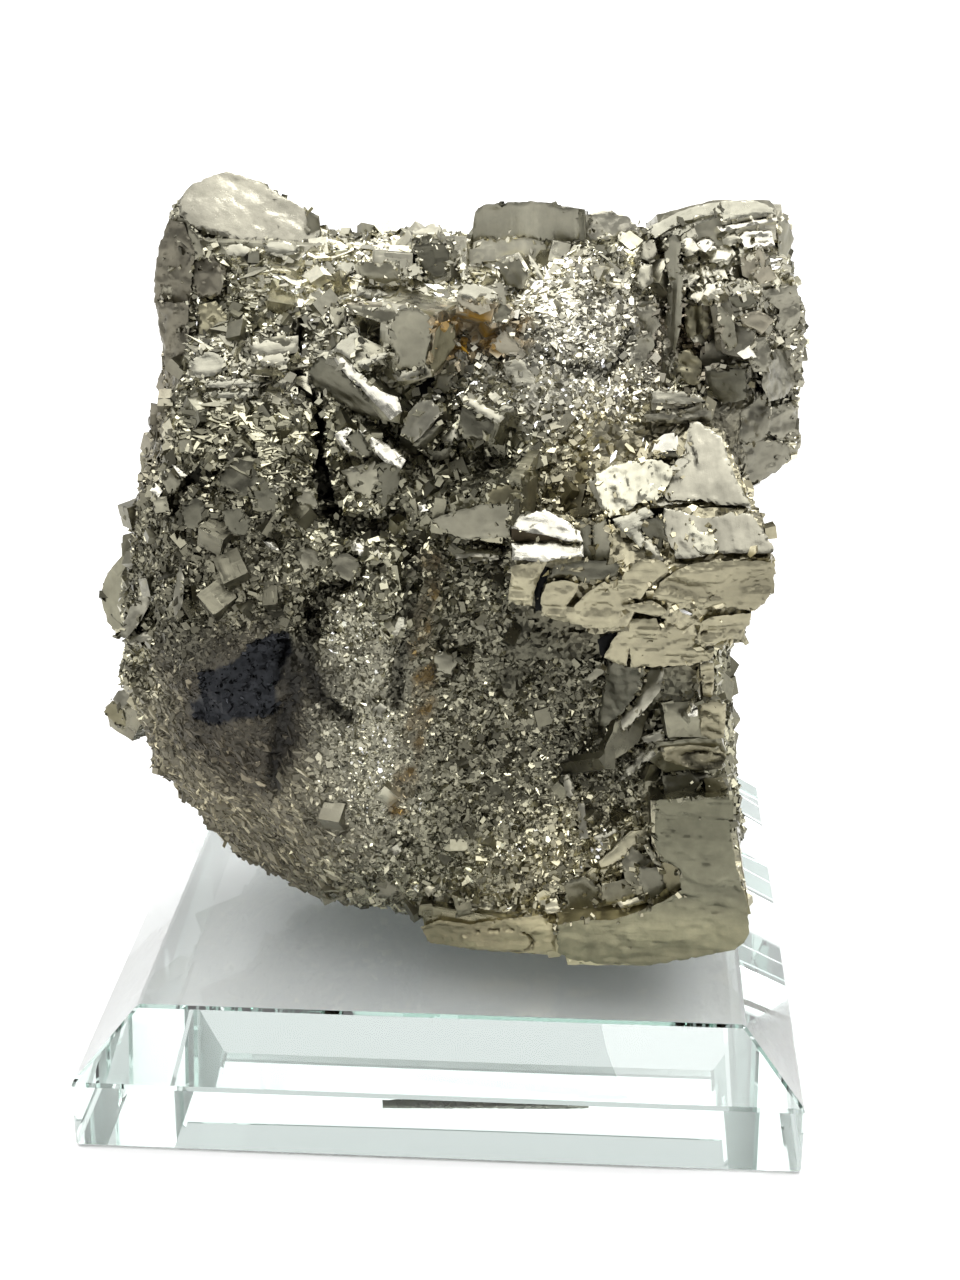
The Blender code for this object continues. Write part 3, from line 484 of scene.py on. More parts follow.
    ("stone", (5, 0), 0.6, ((24.6, 112.8), (27.1, 113.1), (27.2, 109.8), (25.3, 109.5))),
    ("tan", (-5, 0), 0.6, ((5.5, 106.9), (7.5, 108.8), (9.6, 106.9), (10.4, 105.9), (7.6, 105.4))),
    ("pale", (0, 28), 0.7, ((7.4, 104.6), (9.6, 105.2), (11.2, 103.6), (11.6, 101.7), (9.1, 101.4),
     (7.9, 103.1))),
    # the ledge under the flank, then the crown and the flank
    ("pale", (0, 30), 0.7, ((26.8, 101.3), (29.4, 101.4), (33.4, 100.6), (34.2, 99.8), (31.9, 99.3),
     (27.1, 99.4))),
    ("stone", (0, -3), 0.7, ((25.6, 97.7), (30.6, 98.2), (33.5, 99.2), (35, 98.3), (35.3, 96.1),
     (33.6, 97.2), (30.7, 96.6), (26.7, 96.8))),
    ("cream", (0, 40), 0.6, ((25.9, 122.6), (29.9, 124.6), (34.9, 125.9), (34.9, 124), (32.5, 123),
     (30, 121.5), (27, 121.5))),
    ("cream", (5, 40), 0.7, ((35, 126), (39.7, 126.1), (41.8, 125.1), (42.2, 124.3), (37.8, 123.8),
     (35.3, 123.5))),
    ("white", (0, 46), 0.9, ((34.6, 122.7), (37.6, 123.5), (42.1, 124.3), (42.4, 123.6), (37.9, 122.7),
     (35.3, 122.1))),
    ("white", (0, 46), 0.9, ((37.2, 121.5), (38.4, 122.4), (41.7, 122.4), (42.2, 120.4), (38.5, 120))),
    ("white", (-5, 46), 0.8, ((30.4, 121.8), (31.5, 122.7), (32.3, 121.6), (31.3, 120.9))),
    ("white", (0, 46), 0.8, ((32.3, 120.9), (34.1, 121.1), (34.8, 119.9), (33.2, 119.4))),
    ("white", (0, 46), 0.8, ((35, 118), (36.5, 118.4), (37.3, 117.7), (37.1, 116.5), (35.7, 117))),
    ("mid", (60, 0), 0.6, ((42.5, 124), (43.9, 123.4), (44.7, 121.3), (43.9, 118.8), (42.8, 119.1))),
    ("dark", (0, -2), 1.2, ((36.4, 113.6), (39.3, 114.3), (40.2, 113.9), (40.1, 112.6), (37.9, 112),
     (37.1, 112.5))),
    ("cream", (-5, 40), 1.2, ((36.3, 114.5), (38.6, 116.1), (39.6, 115.2), (39.5, 114.5), (37.1, 113.8))),
    ("tan", (10, -6), 1, ((38.6, 118.7), (40.3, 120), (41.5, 117.8), (42.7, 116.2), (41.8, 115.5),
     (40.3, 115.1), (39.2, 117))),
    ("stone", (25, -4), 0.8, ((40.9, 114.6), (45.1, 115.4), (45.9, 113.4), (46, 110.1), (43.9, 108.4),
     (42.9, 109.4), (43.4, 112), (41.4, 113.3))),
    ("tan", (0, 5), 0.9, ((38.2, 111.3), (40.7, 112), (42.7, 110.7), (41.1, 108.7), (38.5, 109.9))),
    ("mid", (0, -2), 0.9, ((35.2, 112.8), (37.5, 110.6), (38.1, 106.8), (36.8, 106.4), (35.4, 109.3))),
    ("white", (0, 45), 0.9, ((38, 106.4), (39.6, 107.4), (40.7, 105.9), (38.9, 105.5))),
    ("pale", (0, 38), 1, ((33.9, 104.5), (39.1, 105.2), (39.5, 104.6), (34.2, 103.9))),
    ("dark", (-3, -4), 1, ((33.9, 103.8), (39.3, 104.3), (39.5, 100), (36.4, 99.3), (34.5, 100.9))),
    ("cream", (-5, 38), 0.9, ((25.7, 121.9), (27.4, 123.3), (29.9, 124.7), (32.4, 125.5), (34.9, 125.9),
     (35.2, 124.5), (32.5, 123.9), (30.6, 123.3), (28.5, 122.3), (26.8, 121.1))),
    ("pale", (0, 42), 1.0, ((30.4, 122.4), (31.8, 122.7), (32.3, 121.4), (31.1, 120.9), (30.4, 121.4))),
    ("white", (5, 44), 1.0, ((32.1, 121.2), (33.6, 121.5), (34.6, 120.8), (33.4, 119.4), (32.3, 119.9))),
    ("pale", (-5, 40), 1.0, ((35.4, 121.7), (37.3, 122.1), (37.8, 121.3), (36.5, 120.2), (35.4, 120.7))),
    ("pale", (0, 36), 1.0, ((34.6, 118.1), (37, 118.7), (37.3, 117.4), (36.1, 116.5), (34.9, 117.1))),
    ("fluted", (-8, -3), 0.9, ((28, 120.6), (29.4, 121.8), (30.2, 120.7), (30, 118.1), (30.8, 114.9),
     (30.7, 110.5), (30, 106.6), (29.7, 101.7), (27.6, 102.1), (27.8, 106.5), (28.5, 110.5), (28.8, 115.7),
     (28.2, 118.1))),
    ("stone", (-5, 8), 0.8, ((24.5, 112), (27.1, 112.5), (28, 109.8), (26.6, 108.2), (24.5, 109))),
    ("stone", (10, 4), 0.7, ((25.4, 108.3), (26.7, 108.9), (27.4, 107.2), (26.2, 104.9), (24.6, 103.5),
     (23.9, 106.2))),
    # the ledges under the horn
    ("cream", (-10, 40), 1.0, ((-34.5, 104), (-33.2, 105.1), (-31.3, 105.6), (-29.8, 104.7), (-29.3, 103.2),
     (-31.2, 102.2), (-33.4, 101.8), (-34.5, 102.5))),
    ("mid", (0, 20), 0.8, ((-26.7, 106.9), (-21.5, 107.9), (-20.6, 106.9), (-22.2, 105.5), (-25.5, 104.9),
     (-26.5, 105.4))),
    ("pale", (0, 38), 0.9, ((-25.5, 104.8), (-22.2, 105.4), (-20.9, 104.7), (-21.5, 103.8),
     (-24.7, 103.6))),
    ("cream", (-5, 36), 0.8, ((-32.8, 101.4), (-27.7, 101.9), (-24.8, 101.5), (-25.4, 100.8),
     (-29.4, 100.5), (-32.5, 100.6))),
    ("cream", (-5, 36), 0.8, ((-32.2, 99.9), (-28.4, 100.2), (-25.7, 99.9), (-26.5, 99.2), (-31.4, 99.1))),
    ("mid", (-5, 5), 0.8, ((-11.8, 117.6), (-6.3, 117.4), (-6.2, 115.3), (-8.1, 114.7), (-11.1, 115.5))),
    ("tan", (0, 15), 0.7, ((-13.3, 112.2), (-9.8, 112.6), (-5.9, 112), (-5.6, 110.6), (-9.3, 110.2),
     (-12.8, 110.7))),
    ("cream", (0, 38), 0.9, ((-24.1, 119.9), (-21.2, 120.3), (-19.1, 119.6), (-19.6, 118.5), (-22.3, 118.2),
     (-23.8, 118.9))),
    ("pale", (0, 42), 0.9, ((-29.3, 119.4), (-26.9, 119.9), (-25.4, 119.1), (-26.5, 118.2),
     (-28.6, 118.3))),
    # more of the crown and the flank
    ("spangle", (0, 40), 3.0, ((30.6, 119.4), (32.1, 119.7), (32.7, 118.1), (31.5, 117.3), (30.5, 118.1))),
    ("spangle", (0, 36), 2.6, ((31.5, 117.3), (33.5, 117.9), (34.3, 116.1), (32.8, 115), (31.3, 115.8))),
    ("spangle", (5, 41), 3.0, ((32.6, 119.7), (34.4, 119.4), (34.2, 118.1), (33, 117.9))),
    ("spangle", (0, 38), 2.2, ((33.6, 115.3), (35.6, 115.8), (36.2, 114.3), (34.4, 113.5), (33.3, 114))),
    ("spangle", (-5, 42), 2.4, ((34.3, 117.1), (35.8, 117.4), (36.4, 116.1), (34.9, 115.7))),
    ("stone", (-10, 20), 2.2, ((31, 115.3), (32.8, 114.8), (33.2, 113.2), (31.4, 113.3))),
    ("stone", (60, 10), 0.8, ((41.4, 106.5), (44.6, 107.3), (45.8, 105.5), (46, 102.5), (44.7, 100.4),
     (42.6, 99.8), (41.5, 102.2))),
    ("stone", (40, 0), 0.8, ((42.7, 99), (45.5, 99.8), (46.5, 97.9), (46.1, 95.8), (44.2, 94.6),
     (42.3, 95.7))),
    ("stone", (30, -5), 0.8, ((39.2, 94), (42.6, 94.9), (45.6, 94.1), (45.9, 92.2), (43.9, 89.9),
     (40.8, 88.5), (39.3, 90.7))),
    # small ones in the middle and in the hollow
    ("pale", (0, 40), 0.8, ((-13.7, 79.4), (-12.5, 80), (-11.1, 78.7), (-12.2, 77.1), (-13.3, 77.9))),
    ("white", (0, 45), 0.9, ((-13.3, 79.1), (-12.1, 79.7), (-11.3, 78.3), (-12.5, 77.5))),
    ("pale", (5, 38), 0.9, ((-11.1, 77.1), (-9.7, 78.2), (-9.2, 77.2), (-10.6, 75.7))),
    ("mid", (-15, 10), 0.8, ((-16.3, 77), (-14.1, 77.5), (-12.5, 76.5), (-12, 74.8), (-13.9, 73.3),
     (-16.1, 74.4))),
    ("pale", (0, 34), 0.7, ((0.9, 78.3), (4.3, 78.6), (6.9, 78.2), (6.8, 77.2), (3.8, 77.4), (1, 77))),
    ("mid", (5, 15), 0.7, ((-2.4, 62.8), (-0.4, 63.5), (1.3, 62), (0.4, 59.6), (-1.6, 60.1))),
    ("cream", (0, 36), 0.6, ((-7.8, 68.1), (-6.2, 68.4), (-5.7, 66.6), (-6.8, 65.3), (-8.1, 65.7))),
    ("cream", (-10, 34), 0.6, ((-11.3, 54.6), (-9.8, 55.3), (-8.7, 54.4), (-9.6, 52.8), (-11, 53.4))),
    ("mid", (0, 6), 0.6, ((3, 68), (4.9, 67.8), (5.2, 66.5), (3.1, 66.4))),
    # more of the crown, the saddle and the roof
    ("pale", (0, 30), 1.4, ((35.6, 115.3), (37.7, 116.1), (39.5, 115.4), (39, 114.3), (36.5, 114))),
    ("spangle", (-5, 37), 3.2, ((32.7, 118.1), (34.7, 118.7), (35.1, 115.3), (33.6, 114.2), (32.7, 115.8))),
    ("tan", (10, 5), 1.8, ((37.8, 119), (39.3, 119.5), (40.4, 118.2), (39.5, 115.9), (38.2, 116.4))),
    ("cream", (0, 38), 0.8, ((-14.4, 117.5), (-12.3, 118.1), (-11.8, 116.5), (-13.4, 115.7),
     (-14.7, 116.5))),
    ("pale", (0, 40), 0.8, ((-5.6, 117.4), (-3.7, 117.7), (-3, 116.4), (-4.8, 115.8))),
    ("cream", (0, 36), 0.8, ((-11.6, 114.4), (-8.7, 114.5), (-7.7, 113.4), (-9.8, 112.7), (-11.9, 113.2))),
    ("roof", None, 0.35, ((27.4, 90.2), (29.6, 90.5), (32.4, 93.6), (33.6, 90.3), (32.9, 85.8),
     (29.7, 85.3), (27.3, 85.2), (26.4, 87.3))),
    ("mid", (-5, 5), 0.8, ((19.4, 83), (21.4, 83.3), (22.2, 79.4), (21.9, 77.1), (19.7, 76.9))),
    ("dark", (0, -5), 0.3, ((17.4, 82.9), (19.3, 83.2), (19.7, 76.9), (17.8, 76.6))),
    ("dark", (0, 0), 0.3, ((26.8, 83.1), (29, 83.7), (30.5, 79.6), (30, 77.5), (27.8, 79.6), (26.1, 82))),
    # more of the crown and the layered dark part under it
    ("spangle", (0, 39), 3.0, ((30.3, 121.4), (31.8, 121.2), (32.6, 119.9), (31.6, 119.1), (30.3, 119.6))),
    ("spangle", (5, 36), 2.6, ((32.8, 115), (34.9, 114.3), (34.5, 112.4), (32.7, 112.7), (31.6, 113.7))),
    ("umber", (5, 16), 1.0, ((31.1, 113.2), (32.9, 113.2), (34.5, 111.6), (34.6, 108.7), (33.2, 106.6),
     (31.6, 107.9), (30.9, 110.5))),
    ("umber", (0, 15), 0.9, ((30.1, 106.3), (31.9, 106.8), (33.5, 105), (33.4, 101.8), (31.3, 102),
     (29.9, 103.6))),
    ("stone", (10, 6), 1.0, ((39.2, 100), (41.8, 100.8), (43, 98.4), (42.6, 94.9), (39.8, 93.7),
     (37.9, 94.8), (37.2, 98.1))),
    ("stone", (25, 10), 0.8, ((39.6, 108), (41.6, 108.6), (42.5, 106.5), (42.2, 103.8), (40.3, 103.8),
     (39.4, 105.9))),
    ("pale", (10, 36), 1.0, ((40.9, 103.5), (42.4, 103.8), (42.8, 102.2), (41.2, 101.6))),
    # under and beside the corner plate
    ("dark", (-5, 10), 0.6, ((30.3, 44.9), (34.2, 45.7), (36, 43.9), (34.3, 42.1), (30.7, 42))),
    ("olive", (10, 16), 0.8, ((36.2, 44.8), (38.8, 45), (39.7, 43.3), (38, 42), (36.6, 42.6))),
    ("pale", (0, 40), 0.9, ((34.5, 45.4), (36.5, 45.9), (37.1, 44.7), (35.1, 44))),
    ("dark", (-5, 5), 0.7, ((16, 27.1), (19.7, 28.5), (21.9, 26.3), (21.1, 23.3), (17, 22.8))),
    ("mid", (5, 16), 1.2, ((22.1, 27.3), (25.9, 28.4), (27.7, 26.2), (25.1, 23.8), (22.2, 24))),
    ("dark", (10, 2), 1.2, ((27, 30.4), (30.8, 30.2), (32.3, 27.7), (29.8, 24.9), (27.7, 26.5))),
    ("pale", (0, 36), 1.4, ((24.3, 24.4), (27.7, 25.5), (29.2, 24.7), (25.2, 23.1))),
    ("olive", (-10, 6), 1.4, ((30.7, 33.1), (32.7, 31.3), (34.6, 27.7), (32.4, 25.7), (30.8, 27.9))),
    # the brightest parts of the crown
    ("spangle", (0, 40), 3.4, ((34.2, 120.2), (36.4, 120.5), (37.3, 119.2), (36.3, 117.9), (34.2, 118.1),
     (33.4, 119.4))),
    ("spangle", (-5, 39), 3.4, ((30.1, 118.1), (31.9, 118.1), (32.8, 116.3), (31.5, 115), (30.2, 115.8))),
    ("cream", (5, 36), 2.2, ((37.5, 120.2), (39, 120.5), (39.3, 119.2), (38.1, 118.4))),
    ("stone", (8, 38), 2.0, ((24.9, 120.8), (26.7, 121.1), (27.3, 119.3), (26.3, 118), (24.7, 118.8))),
    ("stone", (0, 38), 1.4, ((25, 118), (26.6, 117.8), (26.9, 115.5), (25.4, 114.4), (24.3, 116.2))),
    ("pale", (10, 38), 1.2, ((31.8, 108.4), (33.1, 109), (34.2, 107.7), (32.9, 106.9))),
    # the horn's body, the lump on the skyline and two cubes on the top edge
    ("leather", (-22, 0), 0.4, ((-36.2, 122.9), (-34.4, 122.5), (-33, 118.9), (-34, 111.5), (-38.9, 111.8),
     (-38.3, 117.2), (-37.5, 120.1))),
    ("leather", (-26, -3), 0.4, ((-38.7, 112.1), (-34.3, 111.9), (-34.5, 106.3), (-35.9, 100.4),
     (-37.7, 100.6), (-38, 105.9), (-38.4, 108.9))),
    ("leather", (-10, 8), 0.6, ((-33.4, 117.3), (-30.7, 118.1), (-29, 116.1), (-29.9, 112.9),
     (-32.6, 112.3), (-33.8, 114.4))),
    ("umber", (-8, 14), 0.6, ((-33.2, 111.5), (-30.5, 112.3), (-29, 110), (-30.5, 107), (-32.9, 107.2))),
    ("spangle", (0, 4), 0.3, ((17.6, 123.8), (19.7, 124.5), (21.2, 124.6), (23.3, 123.9), (24.4, 122.9),
     (25.2, 121.6), (25, 120.1), (21.1, 119.5), (18, 120))),
    ("spangle", (-8, 32), 1.2, ((18.7, 123.1), (20.5, 123.7), (22.1, 122.9), (21.8, 121.1), (19.8, 120.5))),
    ("spangle", (8, 36), 1.2, ((22.1, 122.6), (23.6, 122.6), (24.7, 121.2), (23.7, 120.1), (22.1, 120.8))),
    ("mid", (28, 8), 0.5, ((-18.2, 124.3), (-16.4, 123.5), (-16.1, 120.6), (-17.8, 120))),
    ("dark", (-6, 3), 1.0, ((-4.3, 120.8), (-2.1, 121.1), (-1.4, 117.7), (-1.9, 114.8), (-3.5, 116.6))),
]

# ---------------------------------------------------------------- crust: the rock under the crystals
CRUST_VOXEL = 0.75
SKY_REACH = 25.0  # rock nearer than this takes light away
SKY_START = 1.2  # rays to the sky start this far off the surface
SKY_RINGS = ((-0.15, 0.0), (0.35, 0.4), (0.85, 0.0), (1.3, 0.5))  # elevation and turn of each ring of rays
GRAZING = 0.15  # rays nearer the surface than this say nothing

closed = bpy.data.meshes.new("closed_solid")
solid.to_mesh(closed)
guide = bpy.data.objects.new("crust_guide", closed)
bpy.context.scene.collection.objects.link(guide)
remesh = guide.modifiers.new("even", "REMESH")
remesh.mode = "VOXEL"
remesh.voxel_size = CRUST_VOXEL * MM
even = bpy.data.meshes.new_from_object(guide.evaluated_get(bpy.context.evaluated_depsgraph_get()))
bpy.data.objects.remove(guide)
crust_verts, crust_faces = mesh_arrays(even)
crust_normals = point_normals(crust_verts, crust_faces)


def on_crystal(points):
    """1 where the nearest point of the solid is on a crystal face."""
    found = np.zeros(len(points))
    for i, point in enumerate(points):
        index = tree.find_nearest(Vector(point * MM))[2]
        found[i] = is_crystal_face[index]
    return found


SKY = [(math.cos(a) * math.cos(e), math.sin(a) * math.cos(e), math.sin(e))
       for e, turn in SKY_RINGS for a in np.arange(8) * math.pi / 4 + turn]


def openness(points, normals):
    """Share of the sky over each point that the solid leaves free."""
    free, total = np.zeros(len(points)), np.full(len(points), 1e-6)
    starts = (points + normals * SKY_START) * MM
    for way in SKY:
        lit = normals @ np.array(way)
        ray = Vector(way)
        for i in np.flatnonzero(lit > GRAZING):
            total[i] += lit[i]
            if tree.ray_cast(Vector(starts[i]), ray, SKY_REACH * MM)[0] is None:
                free[i] += lit[i]
    return free / total


crust_crystal = on_crystal(crust_verts)
# crust_open darkens the crust and the small crystals where the solid hides the sky, as painted shade
crust_open = openness(crust_verts, crust_normals)

# ---------------------------------------------------------------- colours of the regions, some of them painted light and painted shade
OLIVE = (0.205, 0.196, 0.142)
# the olive made darker as painted shade, for the hollow
HOLLOW_SHADE = (0.165, 0.157, 0.115)
BRASS = (0.42, 0.385, 0.265)
SILVER = (0.36, 0.345, 0.28)
RUST = (0.30, 0.165, 0.012)
PATCH = (0.0195, 0.0205, 0.0225)
OCHRE = (0.105, 0.068, 0.018)
HALO = (0.040, 0.033, 0.022)
MATRIX = (0.150, 0.134, 0.092)
ROCK_FINISH = (0.30, 1.0, 1.0)  # roughness, metallic and grain
PATCH_FINISH = (0.34, 1.0, 0.35)
RUST_FINISH = (0.8, 0.0, 1.0)

# Where the rock has another colour, some of it painted light and painted shade as marked below: centre and
# radii, colour, share, and roughness, metallic and grain if they differ. Later places lie over earlier ones.
REGIONS = [
    # the hollow under the brassy mass, darkened as painted shade
    ((10, -26, 58), (24, 14, 18), HOLLOW_SHADE, 0.8),
    # the left block, darkened as painted shade on its side turned from the light
    ((-36, -16, 72), (20, 20, 20), (0.145, 0.137, 0.100), 0.9),  # left block
    ((-12, -24, 52), (8, 10, 20), SILVER, 0.25),
    ((16, -10, 106), (20, 14, 12), SILVER, 0.95),  # saddle
    # the top edge, lightened as painted light where it faces the ceiling
    ((-6, -4, 114), (22, 20, 8), (0.58, 0.555, 0.44), 0.9),  # top edge
    ((24, -16, 97), (13, 12, 7), SILVER, 0.5),
    # the crown, lightened as painted light against the shade in its gaps
    ((40, 4, 116), (13, 20, 10), (0.58, 0.553, 0.44), 0.9),  # crown
    ((-22, -12, 102), (14, 14, 6), SILVER, 0.5),
    ((-46, 0, 108), (12, 22, 20), SILVER, 0.35, 0.4),
    # under the horn, darkened as painted shade
    ((-48, 0, 98), (9, 24, 16), (0.15, 0.135, 0.10), 0.8, 0.42),  # under the horn
    # the flank, lightened as painted light from the right and behind
    ((44, 4, 88), (14, 24, 22), (0.33, 0.313, 0.247), 0.85, 0.42),  # flank
    ((33, -2, 117), (8, 14, 6), (0.34, 0.325, 0.25), 0.9, 0.34),
    # the recess under the crown: brown, and darkened as painted shade
    ((32, -6, 105), (5, 12, 7), (0.10, 0.075, 0.05), 0.8, 0.5),  # brown recess under the crown
    ((30, -24, 82), (19, 26, 17), BRASS, 1.0, 0.32),
    ((23, -22, 80), (6, 8, 4), (0.12, 0.113, 0.08), 0.9, 0.4),
    ((24, -26, 28), (20, 16, 14), BRASS, 0.45, 0.38),  # foot
    ((-34, -14, 34), (20, 22, 22), MATRIX, 0.85, 0.6, 0.2, 1.0),
    ((-29, -20, 54), (13, 12, 12), HALO, 0.85, 0.6, 0.3, 1.0),
]
RUST_SPOT = ((3.5, -11, 106), (6, 8, 4.5))  # centre and radii
RUST_LINE_WIDTH = 1.2
WANDER = 2.5  # how far the edges of the regions wander
MOTTLE = 0.16  # how uneven the rock's colour is
COAL_ENDS_Y = -5
COARSEST = 0.92
# Where the loose crystals are finer: by how much, centre and radii.
FINER = [
    (0.30, (8, -24, 52), (26, 16, 32)),
    (0.2, (-34, -16, 74), (22, 24, 22)),
    (0.25, (-29, -22, 58), (10, 10, 9)),
    (0.2, (-10, -24, 54), (8, 10, 20)),
    (0.3, (16, -10, 106), (18, 14, 12)),
    (0.3, (-34, -14, 36), (20, 22, 18)),
    (0.3, (-46, 0, 106), (14, 24, 14)),
]


def coarseness(points):
    """How large the loose crystals grow here."""
    size = np.full(len(points), COARSEST)
    for change, centre, radii in FINER:
        size -= change * blob(points, centre, radii, SOFT)
    return size


def paint(points):
    """Colour and finish of the rock at these points, with painted light and painted shade in some regions.
    """
    tint = np.tile(np.array(OLIVE), (len(points), 1))
    finish = np.tile(np.array(ROCK_FINISH), (len(points), 1))
    wobble = points + WANDER * np.stack([soft_noise(points, 6.0, 40 + k) for k in range(3)], axis=1)
    uneven = rough_noise(points, 9.0, 3, 50)
    for centre, radii, colour, share, *others in REGIONS:
        weight = share * blob(wobble, centre, radii, SOFT)
        tint = blend(tint, colour, weight)
        for place, value in enumerate(others):
            finish[:, place] += (value - finish[:, place]) * weight
    flat = on_sheet(wobble)
    coal = np.where(inside(flat, COAL) & (points[:, 1] < COAL_ENDS_Y), 1.0, 0.0)[:, None]
    tint = tint * (1 - coal) + np.array(PATCH) * coal
    finish = finish * (1 - coal) + np.array(PATCH_FINISH) * coal
    spotty = 0.45 + 0.9 * soft_noise(points, 1.3, 60)
    line = np.clip(1.8 - line_gap(on_sheet(points), RUST_LINE) / RUST_LINE_WIDTH, 0, 1) * (points[:, 1] < 0)
    for colour, weight in ((OCHRE, line), (RUST, 1.3 * blob(wobble, *RUST_SPOT))):
        weight = np.clip(weight * spotty, 0, 1)
        tint = blend(tint, colour, weight)
        finish = blend(finish, RUST_FINISH, weight)
    tint = tint * (1 + MOTTLE * uneven[:, None])
    return tint, finish


# ---------------------------------------------------------------- crust relief
UNDER_CRYSTAL = 0.55  # how far the crust lies below the crystal faces
CRACK_WIDTH = 0.5
CRACK_DEPTH = 2.0
CREASE_DEPTH = 1.6  # times the depth given with each crease
MATRIX_PLACE = ((-32, -14, 34), (20, 22, 20))  # centre and radii of the fibrous part at the lower left
# the crust's colour is multiplied by this everywhere
CRUST_TONE = 0.9
# painted shade between the brassy plates, which stand out over the crust
PLATE_SHADE = 0.3  # how much darker the crust is between the brassy plates


def on_brass(points, start_x, middle_z, half_height):
    """Whether each point is on the brassy mass, in front."""
    x, y, z = points.T
    return (x > start_x) & (y < 5) & (np.abs(z - middle_z) < half_height) & ((x > 19) | (z < 84))


near, owner = cell_noise(crust_verts, 2.4, 70)
relief = 0.45 * rough_noise(crust_verts, 4.5, 2, 71) + 0.45 * (owner - 0.5) - 0.2 * near
lift = np.where(crust_crystal > 0, -UNDER_CRYSTAL, relief - 0.1)
front = faces_eye(crust_verts, crust_normals)
seen = on_sheet(crust_verts)
crack = np.min([line_gap(seen, line) for line in CRACKS], axis=0)
crack = np.where(front, np.clip(1.6 - crack / CRACK_WIDTH, 0, 1), 0)
wander = 0.8 * np.stack([soft_noise(crust_verts, 3.0, 78 + k) for k in (0, 1)], axis=1)
crease = np.zeros(len(crust_verts))
for line, width, depth in CREASES:
    near_line = np.clip(1.3 - line_gap(seen + wander, line) / width, 0, 1) * front
    crease = np.maximum(crease, near_line)
    lift = lift - CREASE_DEPTH * depth * near_line
x, y, z = crust_verts.T
grain = np.stack([x + z, 0.3 * y, 0.25 * (x - z)], axis=1)  # drawn out along the matrix's fibres
fibrous = 0.5 * rough_noise(grain, 2.6, 2, 75) * blob(crust_verts, *MATRIX_PLACE, SOFT)
lift = lift + fibrous - CRACK_DEPTH * crack
crust_verts = crust_verts + crust_normals * lift[:, None]
crust_verts[:, 2] = np.maximum(crust_verts[:, 2], SEAT)
tint, finish = paint(crust_verts)
# Painted shade: the crust is darker between the brassy plates, in the cracks, where the solid hides the sky,
# and in the creases.
tone_and_plate_shade = CRUST_TONE - PLATE_SHADE * on_brass(crust_verts, 7, 78, 20)
tone_and_painted_shade = tone_and_plate_shade * (1 - 0.95 * crack) * (0.5 + 0.6 * crust_open) * (1 - 0.75 * crease)
crust = mesh_object("crust", crust_verts, crust_faces, tint * tone_and_painted_shade[:, None], finish)

# ---------------------------------------------------------------- crystal faces: worn rims, steps and lines
FACE_DEPTH = 1.6  # how far the sides of the solid's own faces run into the rock
FACE_NET = 0.72  # spacing of the net of points on them
FACET_NET = 0.38  # and on the faces that stand out
EDGE_WEAR = 0.16  # how far a rim lies below its face
EDGE_WIDTH = 0.3  # width of the worn rim
CALM_WIDTH = 0.8  # steps and lines fade this near the rim
RIM_CHIP = 0.3  # a point of the rim moves inward by no more than this
RIM_STEP = 1.5  # spacing of the points on a rim, over that of the net
ROW_STEP = 0.87  # rows of the net over its spacing, which makes even triangles
NET_WANDER = 0.1  # how far the net's points stray, over its spacing
NET_CLEAR = 0.45  # how near the rim they come, over its spacing
MOST_CUTS = 60
UPPER_SIDE = 0.9  # soft shading is for triangles that lean less than this from the face
rng = np.random.default_rng(7)
FacePart = namedtuple("FacePart", "verts faces streak shade smooth look")
face_parts = []


def copied(faces):
    """A new mesh with these faces."""
    made = bmesh.new()
    twins = {}
    for face in faces:
        for vert in face.verts:
            if vert not in twins:
                twins[vert] = made.verts.new(vert.co)
        made.faces.new([twins[vert] for vert in face.verts])
    made.normal_update()
    return made


# For each kind of skin: steps (height, levels, length and width), striations (height and width), slow waves
# (height and length) and the depth of its cracks.
SKINS = {
    "plain": ((0.34, 3, 7.0, 3.0), (0.05, 0.6), (0.09, 1.8), 0.0),
    "stone": ((0.60, 4, 3.5, 2.0), (0.06, 0.6), (0.22, 1.5), 0.0),
    "crumble": ((0.60, 4, 4.0, 1.8), (0.08, 0.5), (0.17, 1.3), 0.0),
    "leather": ((0.80, 4, 4.0, 2.5), (0.06, 0.6), (0.38, 1.9), 0.0),
    "umber": ((0.50, 4, 2.4, 1.6), (0.06, 0.6), (0.22, 1.2), 0.0),
    "spangle": ((0.48, 4, 2.4, 1.4), (0.06, 0.6), (0.18, 1.2), 0.0),
    "white": ((0.50, 4, 3.6, 1.8), (0.05, 0.5), (0.12, 1.3), 0.0),
    "horn": ((0.40, 3, 7.0, 4.0), (0.04, 0.6), (0.40, 5.5), 0.0),
    "roof": ((0.50, 4, 7.0, 2.0), (0.10, 0.5), (0.08, 2.0), 0.0),
    "eaves": ((0.35, 3, 9.0, 2.5), (0.05, 0.5), (0.08, 2.5), 0.25),
    "fluted": ((0.15, 2, 14.0, 2.4), (0.14, 0.8), (0.05, 2.0), 0.0),
    "brass": ((1.00, 5, 7.0, 2.2), (0.05, 0.5), (0.10, 1.5), 0.5),
    "corner": ((0.45, 3, 10.0, 2.6), (0.04, 0.5), (0.16, 1.8), 0.0),
}


def within(places, starts, stops):
    """Whether each place is inside a closed outline of straight pieces, and its distance to them."""
    x, y = places[:, :1], places[:, 1:]
    (ax, ay), (bx, by) = starts.T, stops.T
    crossed = ((ay > y) != (by > y)) & (x < (bx - ax) * (y - ay) / (by - ay + 1e-12) + ax)
    run = stops - starts
    share = ((x - ax) * run[:, 0] + (y - ay) * run[:, 1]) / np.maximum((run**2).sum(axis=1), 1e-12)
    share = np.clip(share, 0, 1)
    gap = np.hypot(x - ax - share * run[:, 0], y - ay - share * run[:, 1]).min(axis=1)
    return crossed.sum(axis=1) % 2 == 1, gap


